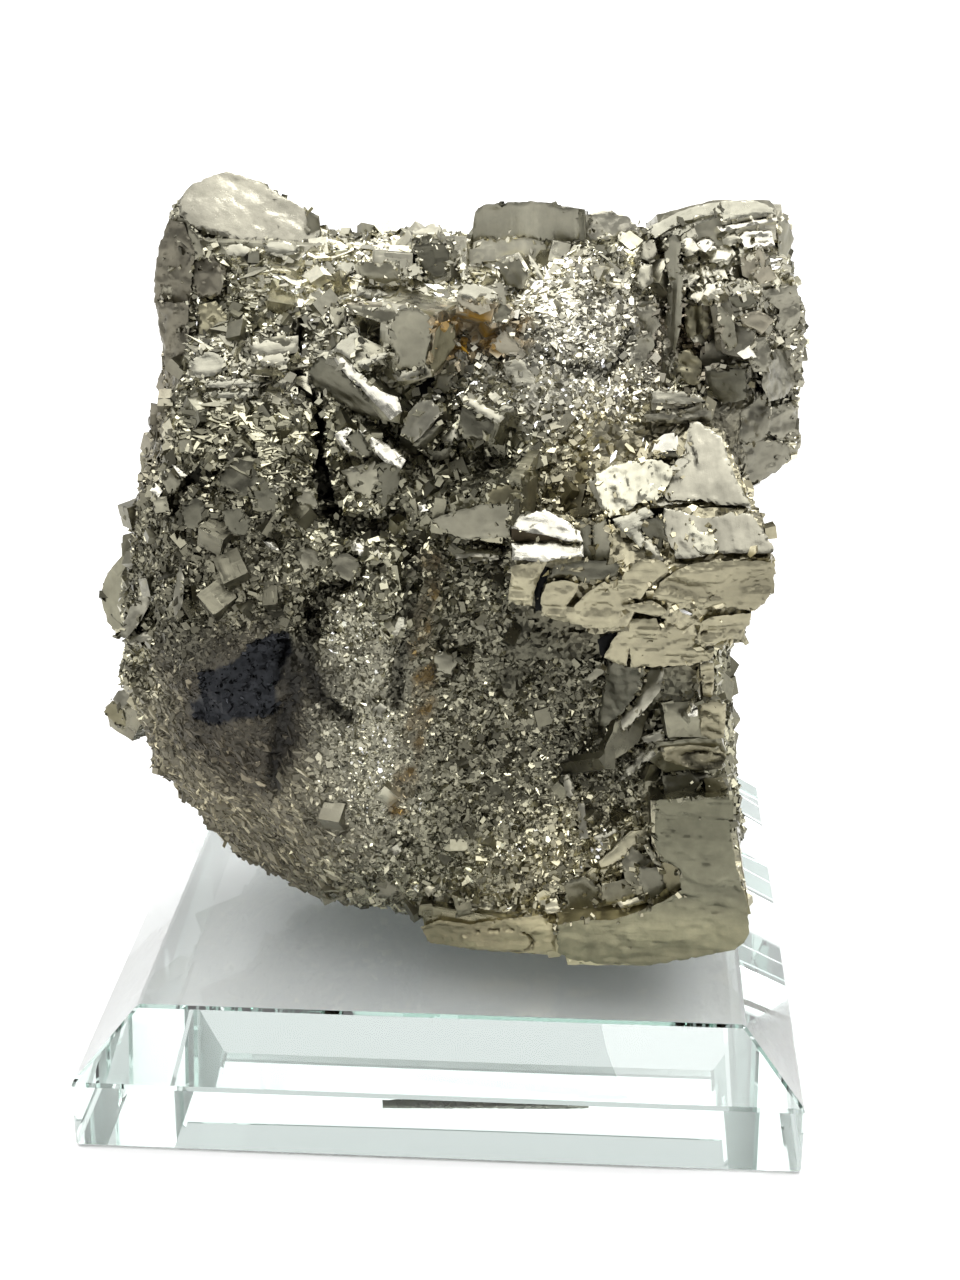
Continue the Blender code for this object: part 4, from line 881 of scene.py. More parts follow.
def skin(flat, kind):
    """Height of a broken, stepped and striated face at places along and across it, and its painted shade:
    lower steps and open cracks are darker.
    """
    (height, levels, long, wide), (groove, width), (swell, length), crack = SKINS[kind]
    spot = np.concatenate([flat, np.full((len(flat), 1), rng.uniform(0, 90))], axis=1)
    still = np.zeros(len(flat))
    bend = np.stack([soft_noise(spot, 3.5, 300), 0.5 * soft_noise(spot, 3.5, 301), still], axis=1)
    bent = spot + bend
    broken = np.clip(rough_noise(bent / (long, wide, 1), 1.0, 2, 310) * 0.55 + 0.5, 0, 0.999) * levels
    step = np.floor(broken)
    step = (step + np.clip((broken - step - 0.8) / 0.2, 0, 1)) / levels
    rise = height * (step - 0.5) + groove * soft_noise(bent / (10 * width, width, 1), 1.0, 320)
    rise += swell * rough_noise(spot, length, 2, 330)
    opened = np.clip(1.3 - np.abs(soft_noise(bent / (9, 2.6, 1), 1.0, 340)) / 0.05, 0, 1)
    opened = opened * np.clip(soft_noise(spot, 7.0, 350) * 3 + 0.4, 0, 1) * (crack > 0)
    # painted shade: lower steps and open cracks are darker
    return rise - crack * opened, (0.85 + 0.3 * step) * (1 - 0.8 * opened)


def carve(sheet, normal, along, kind, pitch, skirt, look=None):
    """Cover a flat sheet with its skin on an even net, and run its sides back into the rock along skirt.

    look is its own colour and finish, or None for the rock's.
    """
    size = math.sqrt(sum(face.calc_area() for face in sheet.faces)) / MM
    for edge in [e for e in sheet.edges if e.is_boundary]:
        cuts = int(edge.calc_length() / MM / (RIM_STEP * pitch))
        if cuts:
            bmesh.ops.subdivide_edges(sheet, edges=[edge], cuts=min(cuts, MOST_CUTS))
    rim = [v for v in sheet.verts if v.is_boundary]
    number = {vert: i for i, vert in enumerate(rim)}
    edges = np.array([[number[v] for v in e.verts] for e in sheet.edges if e.is_boundary])
    places = np.array([v.co for v in rim]) / MM
    normal, along = np.array(normal), np.array(along)
    across = np.cross(normal, along)
    level = (places @ normal).mean()
    flat = np.stack([places @ along, places @ across], axis=1)
    inward = flat.mean(axis=0) - flat
    pull = rng.random(len(flat)) ** 3 * min(RIM_CHIP, 0.05 * size)
    flat += inward / np.linalg.norm(inward, axis=1)[:, None] * pull[:, None]
    low, high = flat.min(axis=0), flat.max(axis=0)
    rows = np.arange(low[1], high[1], ROW_STEP * pitch)
    columns = np.arange(low[0], high[0], pitch)
    net = [(x + 0.5 * pitch * (i % 2), y) for i, y in enumerate(rows) for x in columns]
    starts, stops = flat[edges[:, 0]], flat[edges[:, 1]]
    if net:
        net = np.array(net) + rng.normal(0, NET_WANDER * pitch, (len(net), 2))
        kept, gap = within(net, starts, stops)
        flat = np.concatenate([flat, net[kept & (gap > NET_CLEAR * pitch)]])
    drawn = delaunay_2d_cdt([Vector(p) for p in flat], edges.tolist(), [], 0, 1e-7)
    flat = np.array(drawn[0])
    faces = np.array(drawn[2])
    faces = faces[within(flat[faces].mean(axis=1), starts, stops)[0]]
    gap = within(flat, starts, stops)[1]
    rise, shade = skin(flat, kind)
    wear = EDGE_WEAR * (1 - np.clip(gap / EDGE_WIDTH, 0, 1)) * rng.uniform(0.3, 1.5, len(flat))
    rise = rise * (0.3 + 0.7 * np.clip(gap / CALM_WIDTH, 0, 1)) - wear
    verts = flat[:, :1] * along + flat[:, 1:] * across + (level + rise)[:, None] * normal
    pairs = np.concatenate([faces[:, (0, 1)], faces[:, (1, 2)], faces[:, (2, 0)]])
    known = {tuple(pair) for pair in pairs}
    open_pairs = np.array([pair for pair in pairs if (pair[1], pair[0]) not in known])
    tops, spread = np.unique(open_pairs, return_inverse=True)
    spread = spread.reshape(-1, 2) + len(verts)
    under = spread + len(tops)
    sides = [np.stack([spread[:, 0], under[:, 0], under[:, 1]], axis=1),
             np.stack([spread[:, 0], under[:, 1], spread[:, 1]], axis=1)]
    smooth = face_normals(verts, faces)[0] @ normal > UPPER_SIDE
    smooth = np.concatenate([smooth, np.zeros(2 * len(spread), bool)])
    faces = np.concatenate([faces] + sides)
    verts = np.concatenate([verts, verts[tops], verts[tops] + np.array(skirt)])
    streak = np.stack([verts @ along, verts @ across, np.zeros(len(verts))], axis=1)
    shade = np.concatenate([shade, shade[tops], shade[tops]])
    face_parts.append(FacePart(verts, faces, streak, shade, smooth, look))


def crystal_face(members):
    """One flat face of the solid."""
    normal = members[0].normal.copy()
    number = patch_of[members[0].index]
    edges = [e for f in members for e in f.edges if any(patch_of[g.index] != number for g in e.link_faces)]
    longest = max(edges, key=lambda e: e.calc_length())
    along = (longest.verts[1].co - longest.verts[0].co).normalized()
    along = (along - along.dot(normal) * normal).normalized()
    sheet = copied(members)
    carve(sheet, normal, along, "plain", FACE_NET, -FACE_DEPTH * normal)
    sheet.free()


def under_brass(members):
    """Faces of the brassy mass that its own plates cover."""
    middle, area = middle_and_area(members)
    normal = members[0].normal
    here = middle.x > 5 and middle.y < 5 and 58 < middle.z < 97
    return here and (normal.y < -0.3 or normal.z > 0.4 or area < 60)


for members in crystal_patches:
    if not under_brass(members):
        crystal_face(members)

# ---------------------------------------------------------------- faces that stand out
# Colour, roughness, metallic and the strengths of the striations and of the slow waves. Several tones are
# the
# same sulphide in lit and shaded copies: white, spangle, pale and cream are lightened as painted light on
# faces that catch the light, dark is darkened as painted shade, and black is a sheet of painted shadow where
# there is only shade.
TONES = {
    "white": ((0.45, 0.435, 0.37), 0.26, 1.0, 0.5, 0.4),
    "horn": ((0.215, 0.205, 0.163), 0.30, 1.0, 0.1, 1.0),
    "cream": ((0.28, 0.27, 0.215), 0.30, 1.0, 0.5, 0.5),
    "roof": ((0.34, 0.325, 0.262), 0.30, 1.0, 0.7, 0.5),
    "eaves": ((0.235, 0.224, 0.177), 0.33, 1.0, 0.5, 0.5),
    "pale": ((0.31, 0.297, 0.235), 0.36, 1.0, 0.3, 0.4),
    "fluted": ((0.228, 0.219, 0.169), 0.36, 1.0, 0.8, 0.4),
    "mid": ((0.22, 0.21, 0.158), 0.36, 1.0, 0.3, 0.4),
    "olive": ((0.18, 0.165, 0.105), 0.40, 1.0, 0.3, 0.4),
    "dark": ((0.125, 0.12, 0.090), 0.34, 1.0, 0.3, 0.4),
    "tan": ((0.30, 0.276, 0.21), 0.42, 1.0, 0.3, 0.4),
    "brass": ((0.308, 0.283, 0.193), 0.42, 1.0, 1.0, 0.6),
    "corner": ((0.165, 0.160, 0.112), 0.42, 1.0, 0.6, 0.6),
    "crumble": ((0.40, 0.385, 0.30), 0.30, 1.0, 0.5, 0.4),
    "leather": ((0.158, 0.146, 0.111), 0.40, 1.0, 0.4, 0.4),
    "umber": ((0.26, 0.24, 0.16), 0.34, 1.0, 0.4, 0.4),
    "spangle": ((0.46, 0.44, 0.352), 0.30, 1.0, 0.4, 0.4),
    "stone": ((0.235, 0.224, 0.175), 0.38, 1.0, 0.4, 0.4),
    "rustbrown": ((0.062, 0.050, 0.032), 0.6, 1.0, 0.3, 0.4),
    "black": ((0.010, 0.010, 0.010), 0.6, 1.0, 0.2, 0.4),
}
# Loose crystals on a face of each tone: a square millimetre of it, and a millimetre of its rim.
LITTER = {"roof": (0.06, 0.15), "eaves": (0.03, 0.1), "brass": (0.02, 0.12), "corner": (0.01, 0.8),
          "horn": (0.0, 1.4), "leather": (0.2, 1.0), "umber": (0.12, 1.0), "stone": (0.07, 1.0),
          "spangle": (0.1, 1.0), "white": (0.04, 0.3)}
OTHER_LITTER = (0.04, 1.0)
BARE_RIMS = ("black", "rustbrown")
SIDE_SUNK = 1.5  # the sides of a face run this far into the lowest rock under it,
MOST_SUNK = 6.0  # unless that rock lies deeper than this below the face
PROBES = (0.45, 0.85)  # where the rock is felt, from a face's middle to its corners
COVERED = 0.7  # share of the rock under a face that lies below it
EDGE_ON = -0.35  # a face seen at a lower slant than this is turned to the eye
# colours of the loose crystals: dull, middling, and lightened as a painted highlight
DULL_MID_BRIGHT = (0.6, 1.0, 1.6)
Shard = namedtuple("Shard", "place lean way size value roughness")
shards = []  # the loose crystals


def hit(x, z):
    """Where the sight line through the sheet at x, z first meets the solid, and the normal there."""
    way = Vector((x, SHEET_Y, z)) - Vector(EYE)
    place, normal = tree.ray_cast(Vector(EYE) * MM, way.normalized())[:2]
    return (place / MM, normal) if place else None


def litter(tone, outline, normal, level):
    """Loose crystals on a standing face and along its rims, except where a rim is against the sky."""
    ring = np.array(outline)
    low, high = ring.min(axis=0), ring.max(axis=0)
    density, rate = LITTER.get(tone, OTHER_LITTER)
    tries = rng.uniform(low, high, (int(np.prod(high - low) * density) + 1, 2))
    spots = list(tries[inside(tries, ring)])
    middle = ring.mean(axis=0)
    for start, stop in zip(ring, np.roll(ring, -1, axis=0)):
        outward = (start + stop) / 2 - middle
        beyond = (start + stop) / 2 + 1.5 * outward / np.linalg.norm(outward)
        if tone not in BARE_RIMS and hit(*beyond):
            for _ in range(rng.poisson(np.linalg.norm(stop - start) * rate)):
                spots.append(start + (stop - start) * rng.random() + rng.normal(0, 0.25, 2))
    for x, z in spots:
        place = onto_face(x, z, normal, level)
        lean = (normal + Vector(rng.normal(0, 0.5, 3))).normalized()
        side = 0.3 + 0.9 * rng.random() ** 2
        size = (side * rng.uniform(0.8, 1.6), side * rng.uniform(0.5, 1), side * 0.7)
        value = rng.choice(DULL_MID_BRIGHT, p=(0.35, 0.4, 0.25))
        way = Vector(rng.normal(0, 1, 3))
        shards.append(Shard(place + lean * 0.05, lean, way, size, value, rng.uniform(0.2, 0.4)))


def onto_face(x, z, normal, level):
    """Where the sight line through the sheet at x, z crosses a face of this normal and level."""
    eye = Vector(EYE)
    line = Vector((x, SHEET_Y, z)) - eye
    return eye + line * ((level - eye.dot(normal)) / line.dot(normal))


def streak_way(tone, sheet, normal):
    """The way that a face's striations run: level, upright, or along its longest side."""
    if tone == "fluted":
        along = Vector((0, 0, 1))
    elif tone in ("brass", "corner"):
        along = Vector((0, 0, 1)).cross(normal)
    elif tone in ("roof", "eaves", "crumble"):
        along = normal.cross(Vector((1, 0.15, 0))).normalized()
    else:
        longest = max(sheet.edges, key=lambda e: e.calc_length())
        along = (longest.verts[1].co - longest.verts[0].co).normalized()
    return (along - along.dot(normal) * normal).normalized()


def slanted(azimuth, tilt):
    """The normal of a face that is turned this far to the right and leans this far back."""
    level = math.cos(tilt)
    return Vector((math.sin(azimuth) * level, -math.cos(azimuth) * level, math.sin(tilt)))


def facet(tone, way, rise, outline):
    """One flat face that fills its outline in the front view and runs back into the rock."""
    colour, *finish = TONES[tone]
    middle = np.mean(outline, axis=0)
    samples = [middle + (np.array(p) - middle) * share for p in outline for share in PROBES] + [middle]
    hits = [found for found in (hit(*p) for p in samples) if found]
    if way is None:
        normal = sum((found[1] for found in hits), Vector()).normalized()
    else:
        normal = slanted(*(math.radians(v + rng.normal(0, 2)) for v in way))
    back = (Vector((middle[0], SHEET_Y, middle[1])) - Vector(EYE)).normalized()
    if normal.dot(back) > EDGE_ON:
        normal = (normal - 0.6 * back).normalized()
    levels = sorted(found[0].dot(normal) for found in hits)
    level = levels[-1 if tone == "corner" else int(COVERED * (len(levels) - 1))] + rise
    ring = [onto_face(x, z, normal, level) * MM for x, z in outline]
    sheet = bmesh.new()
    face = sheet.faces.new([sheet.verts.new(p) for p in ring])
    face.normal_update()
    if face.normal.dot(normal) < 0:
        face.normal_flip()
    along = streak_way(tone, sheet, normal)
    shade = rng.uniform(0.92, 1.08)
    look = (np.array(colour) * shade, finish)
    litter(tone, outline, normal, level)
    skirt = back * (SIDE_SUNK + min(level - levels[0], MOST_SUNK))
    carve(sheet, normal, along, tone if tone in SKINS else "plain", FACET_NET, skirt, look)
    sheet.free()


for row in FACETS:
    facet(*row)


def joined(parts):
    """One vertex and one face array from many, and which part each vertex comes from."""
    sizes = [len(part.verts) for part in parts]
    starts = np.cumsum([0] + sizes[:-1])
    verts = np.concatenate([part.verts for part in parts])
    faces = np.concatenate([part.faces + start for part, start in zip(parts, starts)])
    return verts, faces, np.repeat(np.arange(len(parts)), sizes)


# Painted light and painted shade on the faces in front: place on the sheet, radius and change.
PAINTED_LIGHT_AND_SHADE = [((0.6, 20.2), 9, -0.5), ((26.1, 89), 4, -0.25), ((-26.7, 125.7), 5, 0.38),
         ((-33.3, 123.8), 4.5, -0.25), ((-19, 122.7), 4.5, -0.12), ((23.2, 89), 6, 0.15),
         ((36.5, 83.3), 7, -0.22), ((35.9, 38.9), 8, -0.14), ((41.6, 73.7), 5, -0.12),
         ((-28.8, 121.3), 5, -0.1), ((10.8, 122.6), 6, 0.06), ((36.5, 119.5), 6, 0.2)]
PAINTED_LIGHT_AND_SHADE_END_Y = 10
METAL = 0.6  # more metallic than this is clean sulphide
FOOT_TOP = 34  # the plates of the foot, below this, are warmer
FOOT_WARMTH = (0.22, 0.17, 0.0)


def face_mesh(name, parts):
    """The carved faces as one mesh, in the rock's own colours unless they bring their own, with painted
    light and painted shade laid over them.
    """
    verts, faces, owner = joined(parts)
    tint, finish = paint(verts)
    finish = np.concatenate([finish, np.full((len(finish), 1), PLAIN_WAVES)], axis=1)
    roughness = rng.uniform(0.27, 0.4, len(parts))[owner]
    finish[:, 0] = np.where(finish[:, 1] > METAL, roughness, finish[:, 0])
    finish[:, 2] = 0.5
    tint = tint * 1.1 * rng.uniform(0.88, 1.12, len(parts))[owner, None]
    for number, part in enumerate(parts):
        if part.look:
            mine = owner == number
            tint[mine], finish[mine] = part.look
    # the foot's lower plates: warmer in colour, and lightened as painted light
    foot = 0.5 * np.clip((FOOT_TOP - verts[:, 2]) / 6, 0, 1) * (verts[:, 1] < -15) * (verts[:, 0] > -5)
    tint = tint * (1 + np.outer(foot, FOOT_WARMTH))
    # painted shade of the skins: lower steps and open cracks are darker
    shade = np.concatenate([part.shade for part in parts])
    uneven = 1 + 0.10 * rough_noise(verts, 3.0, 3, 80) + 0.10 * rough_noise(verts, 11.0, 2, 84)
    uneven = uneven * (1 + foot) * shade
    # painted light and painted shade: the faces are lightened or darkened round each listed place
    for place, reach, change in PAINTED_LIGHT_AND_SHADE:
        far = np.linalg.norm(on_sheet(verts) - np.array(place), axis=1) / reach
        uneven = uneven * (1 + change * np.exp(-far**2) * (verts[:, 1] < PAINTED_LIGHT_AND_SHADE_END_Y))
    smooth = np.concatenate([part.smooth for part in parts])
    made = mesh_object(name, verts, faces, tint * uneven[:, None], finish, smooth)
    stored = made.data.attributes.new("streak", "FLOAT_VECTOR", "POINT")
    streak = np.concatenate([part.streak for part in parts])
    stored.data.foreach_set("vector", streak.astype(np.float32).ravel())
    return made


crystals = [face_mesh("crystal_faces", [part for part in face_parts if part.look is None]),
            face_mesh("standing_faces", [part for part in face_parts if part.look is not None])]

# ---------------------------------------------------------------- small crystals
TURN = 6.3  # a full turn and a little
FIBRE_WAY = (0.75, 0.0, -0.65)  # the fibres run this way
LEAN_BACK = (0.0, -0.70, 0.72)  # glints and ledges face this way
LIKE_NEIGHBOURS = 0.4  # share of the cubes that are turned with their neighbours
NEAR_FLAT = 0.65  # share of the flats that keep near the rock's own slant
SLIVER = (1.6, 0.5, 0.8)  # how a sliver is stretched
DULL_FROM = 0.75  # share of the crystals that aren't dull
CRACK_CLEAR = 0.9  # no crystals nearer than this to a crack
LEDGE_CLEAR = 2.2  # and no large ones nearer than this
# Where hardly any grow (by how much, centre and radii), where ledges step back, and the top of the horn.
BARE_PLACES = [(0.75, (-49, 0, 98), (11, 30, 24)), (0.7, (48, 4, 85), (12, 30, 26))]
STEPPED_PLACES = [((-6, -4, 114), (22, 20, 8)), ((-22, -12, 104), (16, 16, 9)),
                  ((-34, -14, 91), (14, 16, 6)), ((38, 4, 120), (13, 20, 7))]
HORN_TOP = ((-40, 0, 125), (16, 30, 9))
BESIDE_BRASS_X = 34  # no cubes to the right of this beside the brassy mass
BLOCK_TOPS = ((9, -24, 86), (11, 7, 7))  # centre and half sizes


def block_shape(stretch, trims, seed):
    """A unit crystal: a cuboid with a few corners and edges cut off."""
    dice = np.random.default_rng(seed)
    shape = bmesh.new()
    bmesh.ops.create_cube(shape, size=1.0, matrix=Matrix.Diagonal((*stretch, 1.0)))
    for _ in range(trims):
        way = Vector(dice.choice((-1, 1), 3) * dice.uniform(0.2, 1, 3)).normalized()
        reach = max(v.co.dot(way) for v in shape.verts) * dice.uniform(0.72, 0.92)
        everything = shape.verts[:] + shape.edges[:] + shape.faces[:]
        cut = bmesh.ops.bisect_plane(shape, geom=everything, plane_co=way * reach, plane_no=way,
                                     clear_outer=True)
        rim = [e for e in cut["geom_cut"] if isinstance(e, bmesh.types.BMEdge)]
        bmesh.ops.edgeloop_fill(shape, edges=rim)
    bmesh.ops.triangulate(shape, faces=shape.faces)
    bmesh.ops.recalc_face_normals(shape, faces=shape.faces)
    shape.verts.index_update()
    verts = np.array([v.co for v in shape.verts])
    faces = np.array([[v.index for v in f.verts] for f in shape.faces])
    shape.free()
    return verts, faces


def open_block(wide, deep):
    """A unit crystal without its underside."""
    top = np.array([(-wide, -deep, 1), (wide, -deep, 1), (wide, deep, 1), (-wide, deep, 1)]) * 0.5
    low = top * (1.05, 1.05, -1)
    faces = [(0, 1, 2), (0, 2, 3)]
    for k in range(4):
        n = (k + 1) % 4
        faces += [(k, k + 4, n + 4), (k, n + 4, n)]
    return np.concatenate([top, low]), np.array(faces)


CUBES = [block_shape((1, 1, 1), 0, 0), block_shape((1, 0.8, 0.9), 0, 1), block_shape((1, 1, 1), 1, 2),
         block_shape((0.8, 1, 0.7), 1, 3), block_shape((1.2, 0.8, 1), 1, 4)]
BLOCKS = [open_block(1, 1), open_block(0.8, 1.1), open_block(1.5, 0.6)]


def turn_matrices(angles):
    """Rotation matrices from angles about X, Y and Z (n, 3)."""
    c, s = np.cos(angles), np.sin(angles)
    one, zero = np.ones(len(angles)), np.zeros(len(angles))

    def stacked(rows):
        """One matrix for each of many rows of numbers."""
        return np.stack([np.stack(row, axis=1) for row in rows], axis=1)

    about_x = stacked([(one, zero, zero), (zero, c[:, 0], -s[:, 0]), (zero, s[:, 0], c[:, 0])])
    about_y = stacked([(c[:, 1], zero, s[:, 1]), (zero, one, zero), (-s[:, 1], zero, c[:, 1])])
    about_z = stacked([(c[:, 2], -s[:, 2], zero), (s[:, 2], c[:, 2], zero), (zero, zero, one)])
    return about_z @ about_y @ about_x


def tilted_flat(sides, seed):
    """A unit flat crystal face with uneven outline, its sides running down and outward."""
    dice = np.random.default_rng(seed)
    angles = (np.arange(sides) + dice.uniform(-0.22, 0.22, sides)) * 2 * math.pi / sides
    reach = dice.uniform(0.42, 0.66, sides) * np.array([1.0, dice.uniform(0.6, 1)])[np.arange(sides) % 2]
    top = np.stack([np.cos(angles) * reach, np.sin(angles) * reach, np.zeros(sides)], axis=1)
    low = top * 1.15 - np.array((0, 0, 0.75))
    faces = [(0, k, k + 1) for k in range(1, sides - 1)]
    for k in range(sides):
        n = (k + 1) % sides
        faces += [(k, k + sides, n + sides), (k, n + sides, n)]
    return np.concatenate([top, low]), np.array(faces)


FLATS = [tilted_flat(4, 20), tilted_flat(4, 21), tilted_flat(4, 22), tilted_flat(3, 23), tilted_flat(5, 24)]

tri_normals, tri_areas = face_normals(crust_verts, crust_faces)
tri_centres = crust_verts[crust_faces].mean(axis=1)
tri_crystal = crust_crystal[crust_faces].max(axis=1)
tri_open = crust_open[crust_faces].mean(axis=1)
tri_crease = crease[crust_faces].mean(axis=1)
tri_front = faces_eye(tri_centres, tri_normals)
tri_seen = on_sheet(tri_centres)


def framed(normals, spins):
    """Rotation matrices whose Z is the normal, turned about it."""
    helper = np.where(np.abs(normals[:, 2:]) < 0.9, (0.0, 0.0, 1.0), (1.0, 0.0, 0.0))
    side = np.cross(helper, normals)
    side /= np.linalg.norm(side, axis=1)[:, None]
    up = np.cross(normals, side)
    c, s = np.cos(spins)[:, None], np.sin(spins)[:, None]
    return np.stack([side * c + up * s, up * c - side * s, normals], axis=2)


def unit(vectors):
    """The same directions, one long."""
    return vectors / np.linalg.norm(vectors, axis=1)[:, None]


def placed_shapes(name, shapes, kinds, places, turns, sizes, tint, finish):
    """Many turned and stretched copies of a few shapes as one mesh."""
    parts_v, parts_f, parts_o = [], [], []
    start = 0
    for kind, (verts, faces) in enumerate(shapes):
        mine = np.flatnonzero(kinds == kind)
        stretched = verts[None] * sizes[mine, None]
        placed = np.einsum("nij,nkj->nki", turns[mine], stretched) + places[mine, None]
        parts_v.append(placed.reshape(-1, 3))
        steps = start + np.arange(len(mine))[:, None, None] * len(verts)
        parts_f.append((faces[None] + steps).reshape(-1, 3))
        parts_o.append(np.repeat(mine, len(verts)))
        start += len(mine) * len(verts)
    verts, faces, owner = (np.concatenate(p) for p in (parts_v, parts_f, parts_o))
    verts[:, 2] = np.maximum(verts[:, 2], SEAT)
    return mesh_object(name, verts, faces, tint[owner], finish[owner])


def scatter(name, number, weight, size, seed, shapes, mode, sink, shine=1.0, light=0.18):
    """Seeded small crystals on the crust, one joined mesh.

    mode is "cubes" for crystals turned with their neighbours, "blocks" for small ones turned anyhow, "flats"
    for faces near the surface's own slant, "glints" for faces that lean back to the sky, "ledges" for such
    faces drawn out level, and "fibres" for slivers that slant down to the right. sink is how far they stand
    out, least and most, as shares of their size. light is the share whose colour is lightened as a painted
    highlight, and shine is how far the colour of each may be lightened further. Where the solid hides the
    sky and in creases they are darkened as painted shade.
    """
    dice = np.random.default_rng(seed)
    share = tri_areas * weight
    picked = dice.choice(len(crust_faces), number, p=share / share.sum())
    mix = dice.dirichlet((1, 1, 1), number)
    places = np.einsum("nk,nkj->nj", mix, crust_verts[crust_faces[picked]])
    normals = tri_normals[picked]
    sides = (size[0] + (size[1] - size[0]) * dice.random(number) ** 2.2) * coarseness(places)
    domain = cell_noise(places, 7.0, 90)[1]
    if mode == "fibres":
        slant = unit(normals + 0.25 * dice.normal(0, 1, (number, 3)))
        along = unit(np.array(FIBRE_WAY) + 0.25 * dice.normal(0, 1, (number, 3)))
        along = unit(along - slant * np.einsum("ij,ij->i", along, slant)[:, None])
        turns = np.stack([along, np.cross(slant, along), slant], axis=2)
    elif mode == "blocks":
        turns = framed(unit(normals + 0.7 * dice.normal(0, 1, (number, 3))), dice.uniform(0, TURN, number))
    elif mode == "cubes":
        common = np.stack([np.sin(domain * 40 + 2 * k) for k in range(3)], axis=1) * 0.9
        loose = np.where(dice.random(number) < LIKE_NEIGHBOURS, 0.12, 0.9)
        turns = turn_matrices(common + dice.normal(0, 1, (number, 3)) * loose[:, None])
    elif mode == "flats":
        slant = np.where(dice.random(number) < NEAR_FLAT, 0.16, 0.5)[:, None]
        turns = framed(unit(normals + slant * dice.normal(0, 1, (number, 3))), dice.uniform(0, TURN, number))
    else:
        lean = np.tile(np.array(LEAN_BACK), (number, 1)) + dice.normal(0, 0.15, (number, 3))
        spins = dice.uniform(0, TURN, number) if mode == "glints" else dice.normal(0, 0.35, number)
        turns = framed(unit(lean + 0.25 * normals), spins)
    # painted shade: crystals where the solid hides the sky and in the creases are darker
    shade = (0.5 + 0.6 * tri_open[picked]) * (1 - 0.7 * tri_crease[picked])
    shade = shade * (1 + 0.3 * soft_noise(places, 5.0, 95))
    places = places + normals * (sides * dice.uniform(*sink, number))[:, None]
    sizes = sides[:, None] * dice.uniform(0.5, 1.6, (number, 3))
    if mode in ("glints", "ledges", "fibres"):
        sizes[dice.random(number) < (0.5 if mode == "glints" else 1)] *= SLIVER
    tint, finish = paint(places)
    roll = dice.random(number)
    # painted highlight: the share given by light is made lighter
    value = np.where(roll < light, dice.uniform(1.3, 2.0, number), dice.uniform(0.75, 1.15, number))
    value = np.where(roll > DULL_FROM, dice.uniform(0.45, 0.75, number), value)
    tint = tint * (value * shade)[:, None] * dice.uniform(1, shine, (number, 1))
    finish[:, 0] = np.where(finish[:, 1] > METAL, dice.uniform(0.22, 0.40, number), finish[:, 0])
    kinds = dice.integers(0, len(shapes), number)
    return placed_shapes(name, shapes, kinds, places, turns, sizes, tint, finish)


# Where small crystals grow: a weight for each triangle of the crust.
covered = np.zeros(len(crust_faces), bool)
for *_, outline in FACETS:
    covered |= inside(tri_seen, outline)
covered &= tri_front
coal = inside(tri_seen, COAL) & tri_front
crack_gap = np.min([line_gap(tri_seen, line) for line in CRACKS], axis=0)
in_crack = (crack_gap < CRACK_CLEAR) & tri_front
away = crack_gap > LEDGE_CLEAR
between_plates = on_brass(tri_centres, 9, 79, 16) & tri_front
rocky = (1 - tri_crystal) * np.where(covered, 0.03, 1) * np.where(in_crack, 0, 1)
rocky = rocky * np.where(between_plates, 0.05, 1)
matrix = blob(tri_centres, *MATRIX_PLACE, SOFT)
rocky = rocky * (1 - 0.8 * tri_crease)
fibrous = matrix * (rocky * np.where(coal, 0, 1))
rocky = rocky * np.where(coal, 0.3, 1) * (1 - 0.8 * matrix)
frontness = np.clip(0.25 - tri_normals[:, 1] * 1.2 + 0.4 * tri_normals[:, 2], 0.0, 1)
for change, centre, radii in BARE_PLACES:
    rocky = rocky * (1 - change * blob(tri_centres, centre, radii, SOFT))
facing = rocky * (0.04 + frontness)
glinty = facing * np.clip(0.25 - tri_normals[:, 1], 0, 1) * (1 - 0.9 * coal)
glinty = glinty * np.clip(0.6 + 1.1 * soft_noise(tri_centres, 6.0, 96), 0.1, 2)
stepped = sum(blob(tri_centres, *place) for place in STEPPED_PLACES)
sight = unit(EYE - tri_centres)
facing_eye = np.einsum("ij,ij->i", sight, tri_normals)
coarse = rocky * (1 - blob(tri_centres, *HORN_TOP, 0.2))
coarse = coarse * np.where(tri_front, np.clip(facing_eye * 3 - 0.4, 0, 1), 1)
coarse = coarse * (0.3 + frontness) * np.clip(coarseness(tri_centres) * 2 - 1, 0.05, 1)
beside_brass = (tri_centres[:, 0] > BESIDE_BRASS_X) & (np.abs(tri_centres[:, 2] - 75) < 20)
coarse = coarse * np.where(beside_brass, 0, 1)
# The tops of the blocks in front of the saddle have no carved face, so crystals cover them.
near_blocks = (np.abs(tri_centres - BLOCK_TOPS[0]) < BLOCK_TOPS[1]).all(axis=1) & (tri_normals[:, 2] > 0.5)
bare = tri_crystal * near_blocks * ~covered
bare_area = (tri_areas * bare).sum()

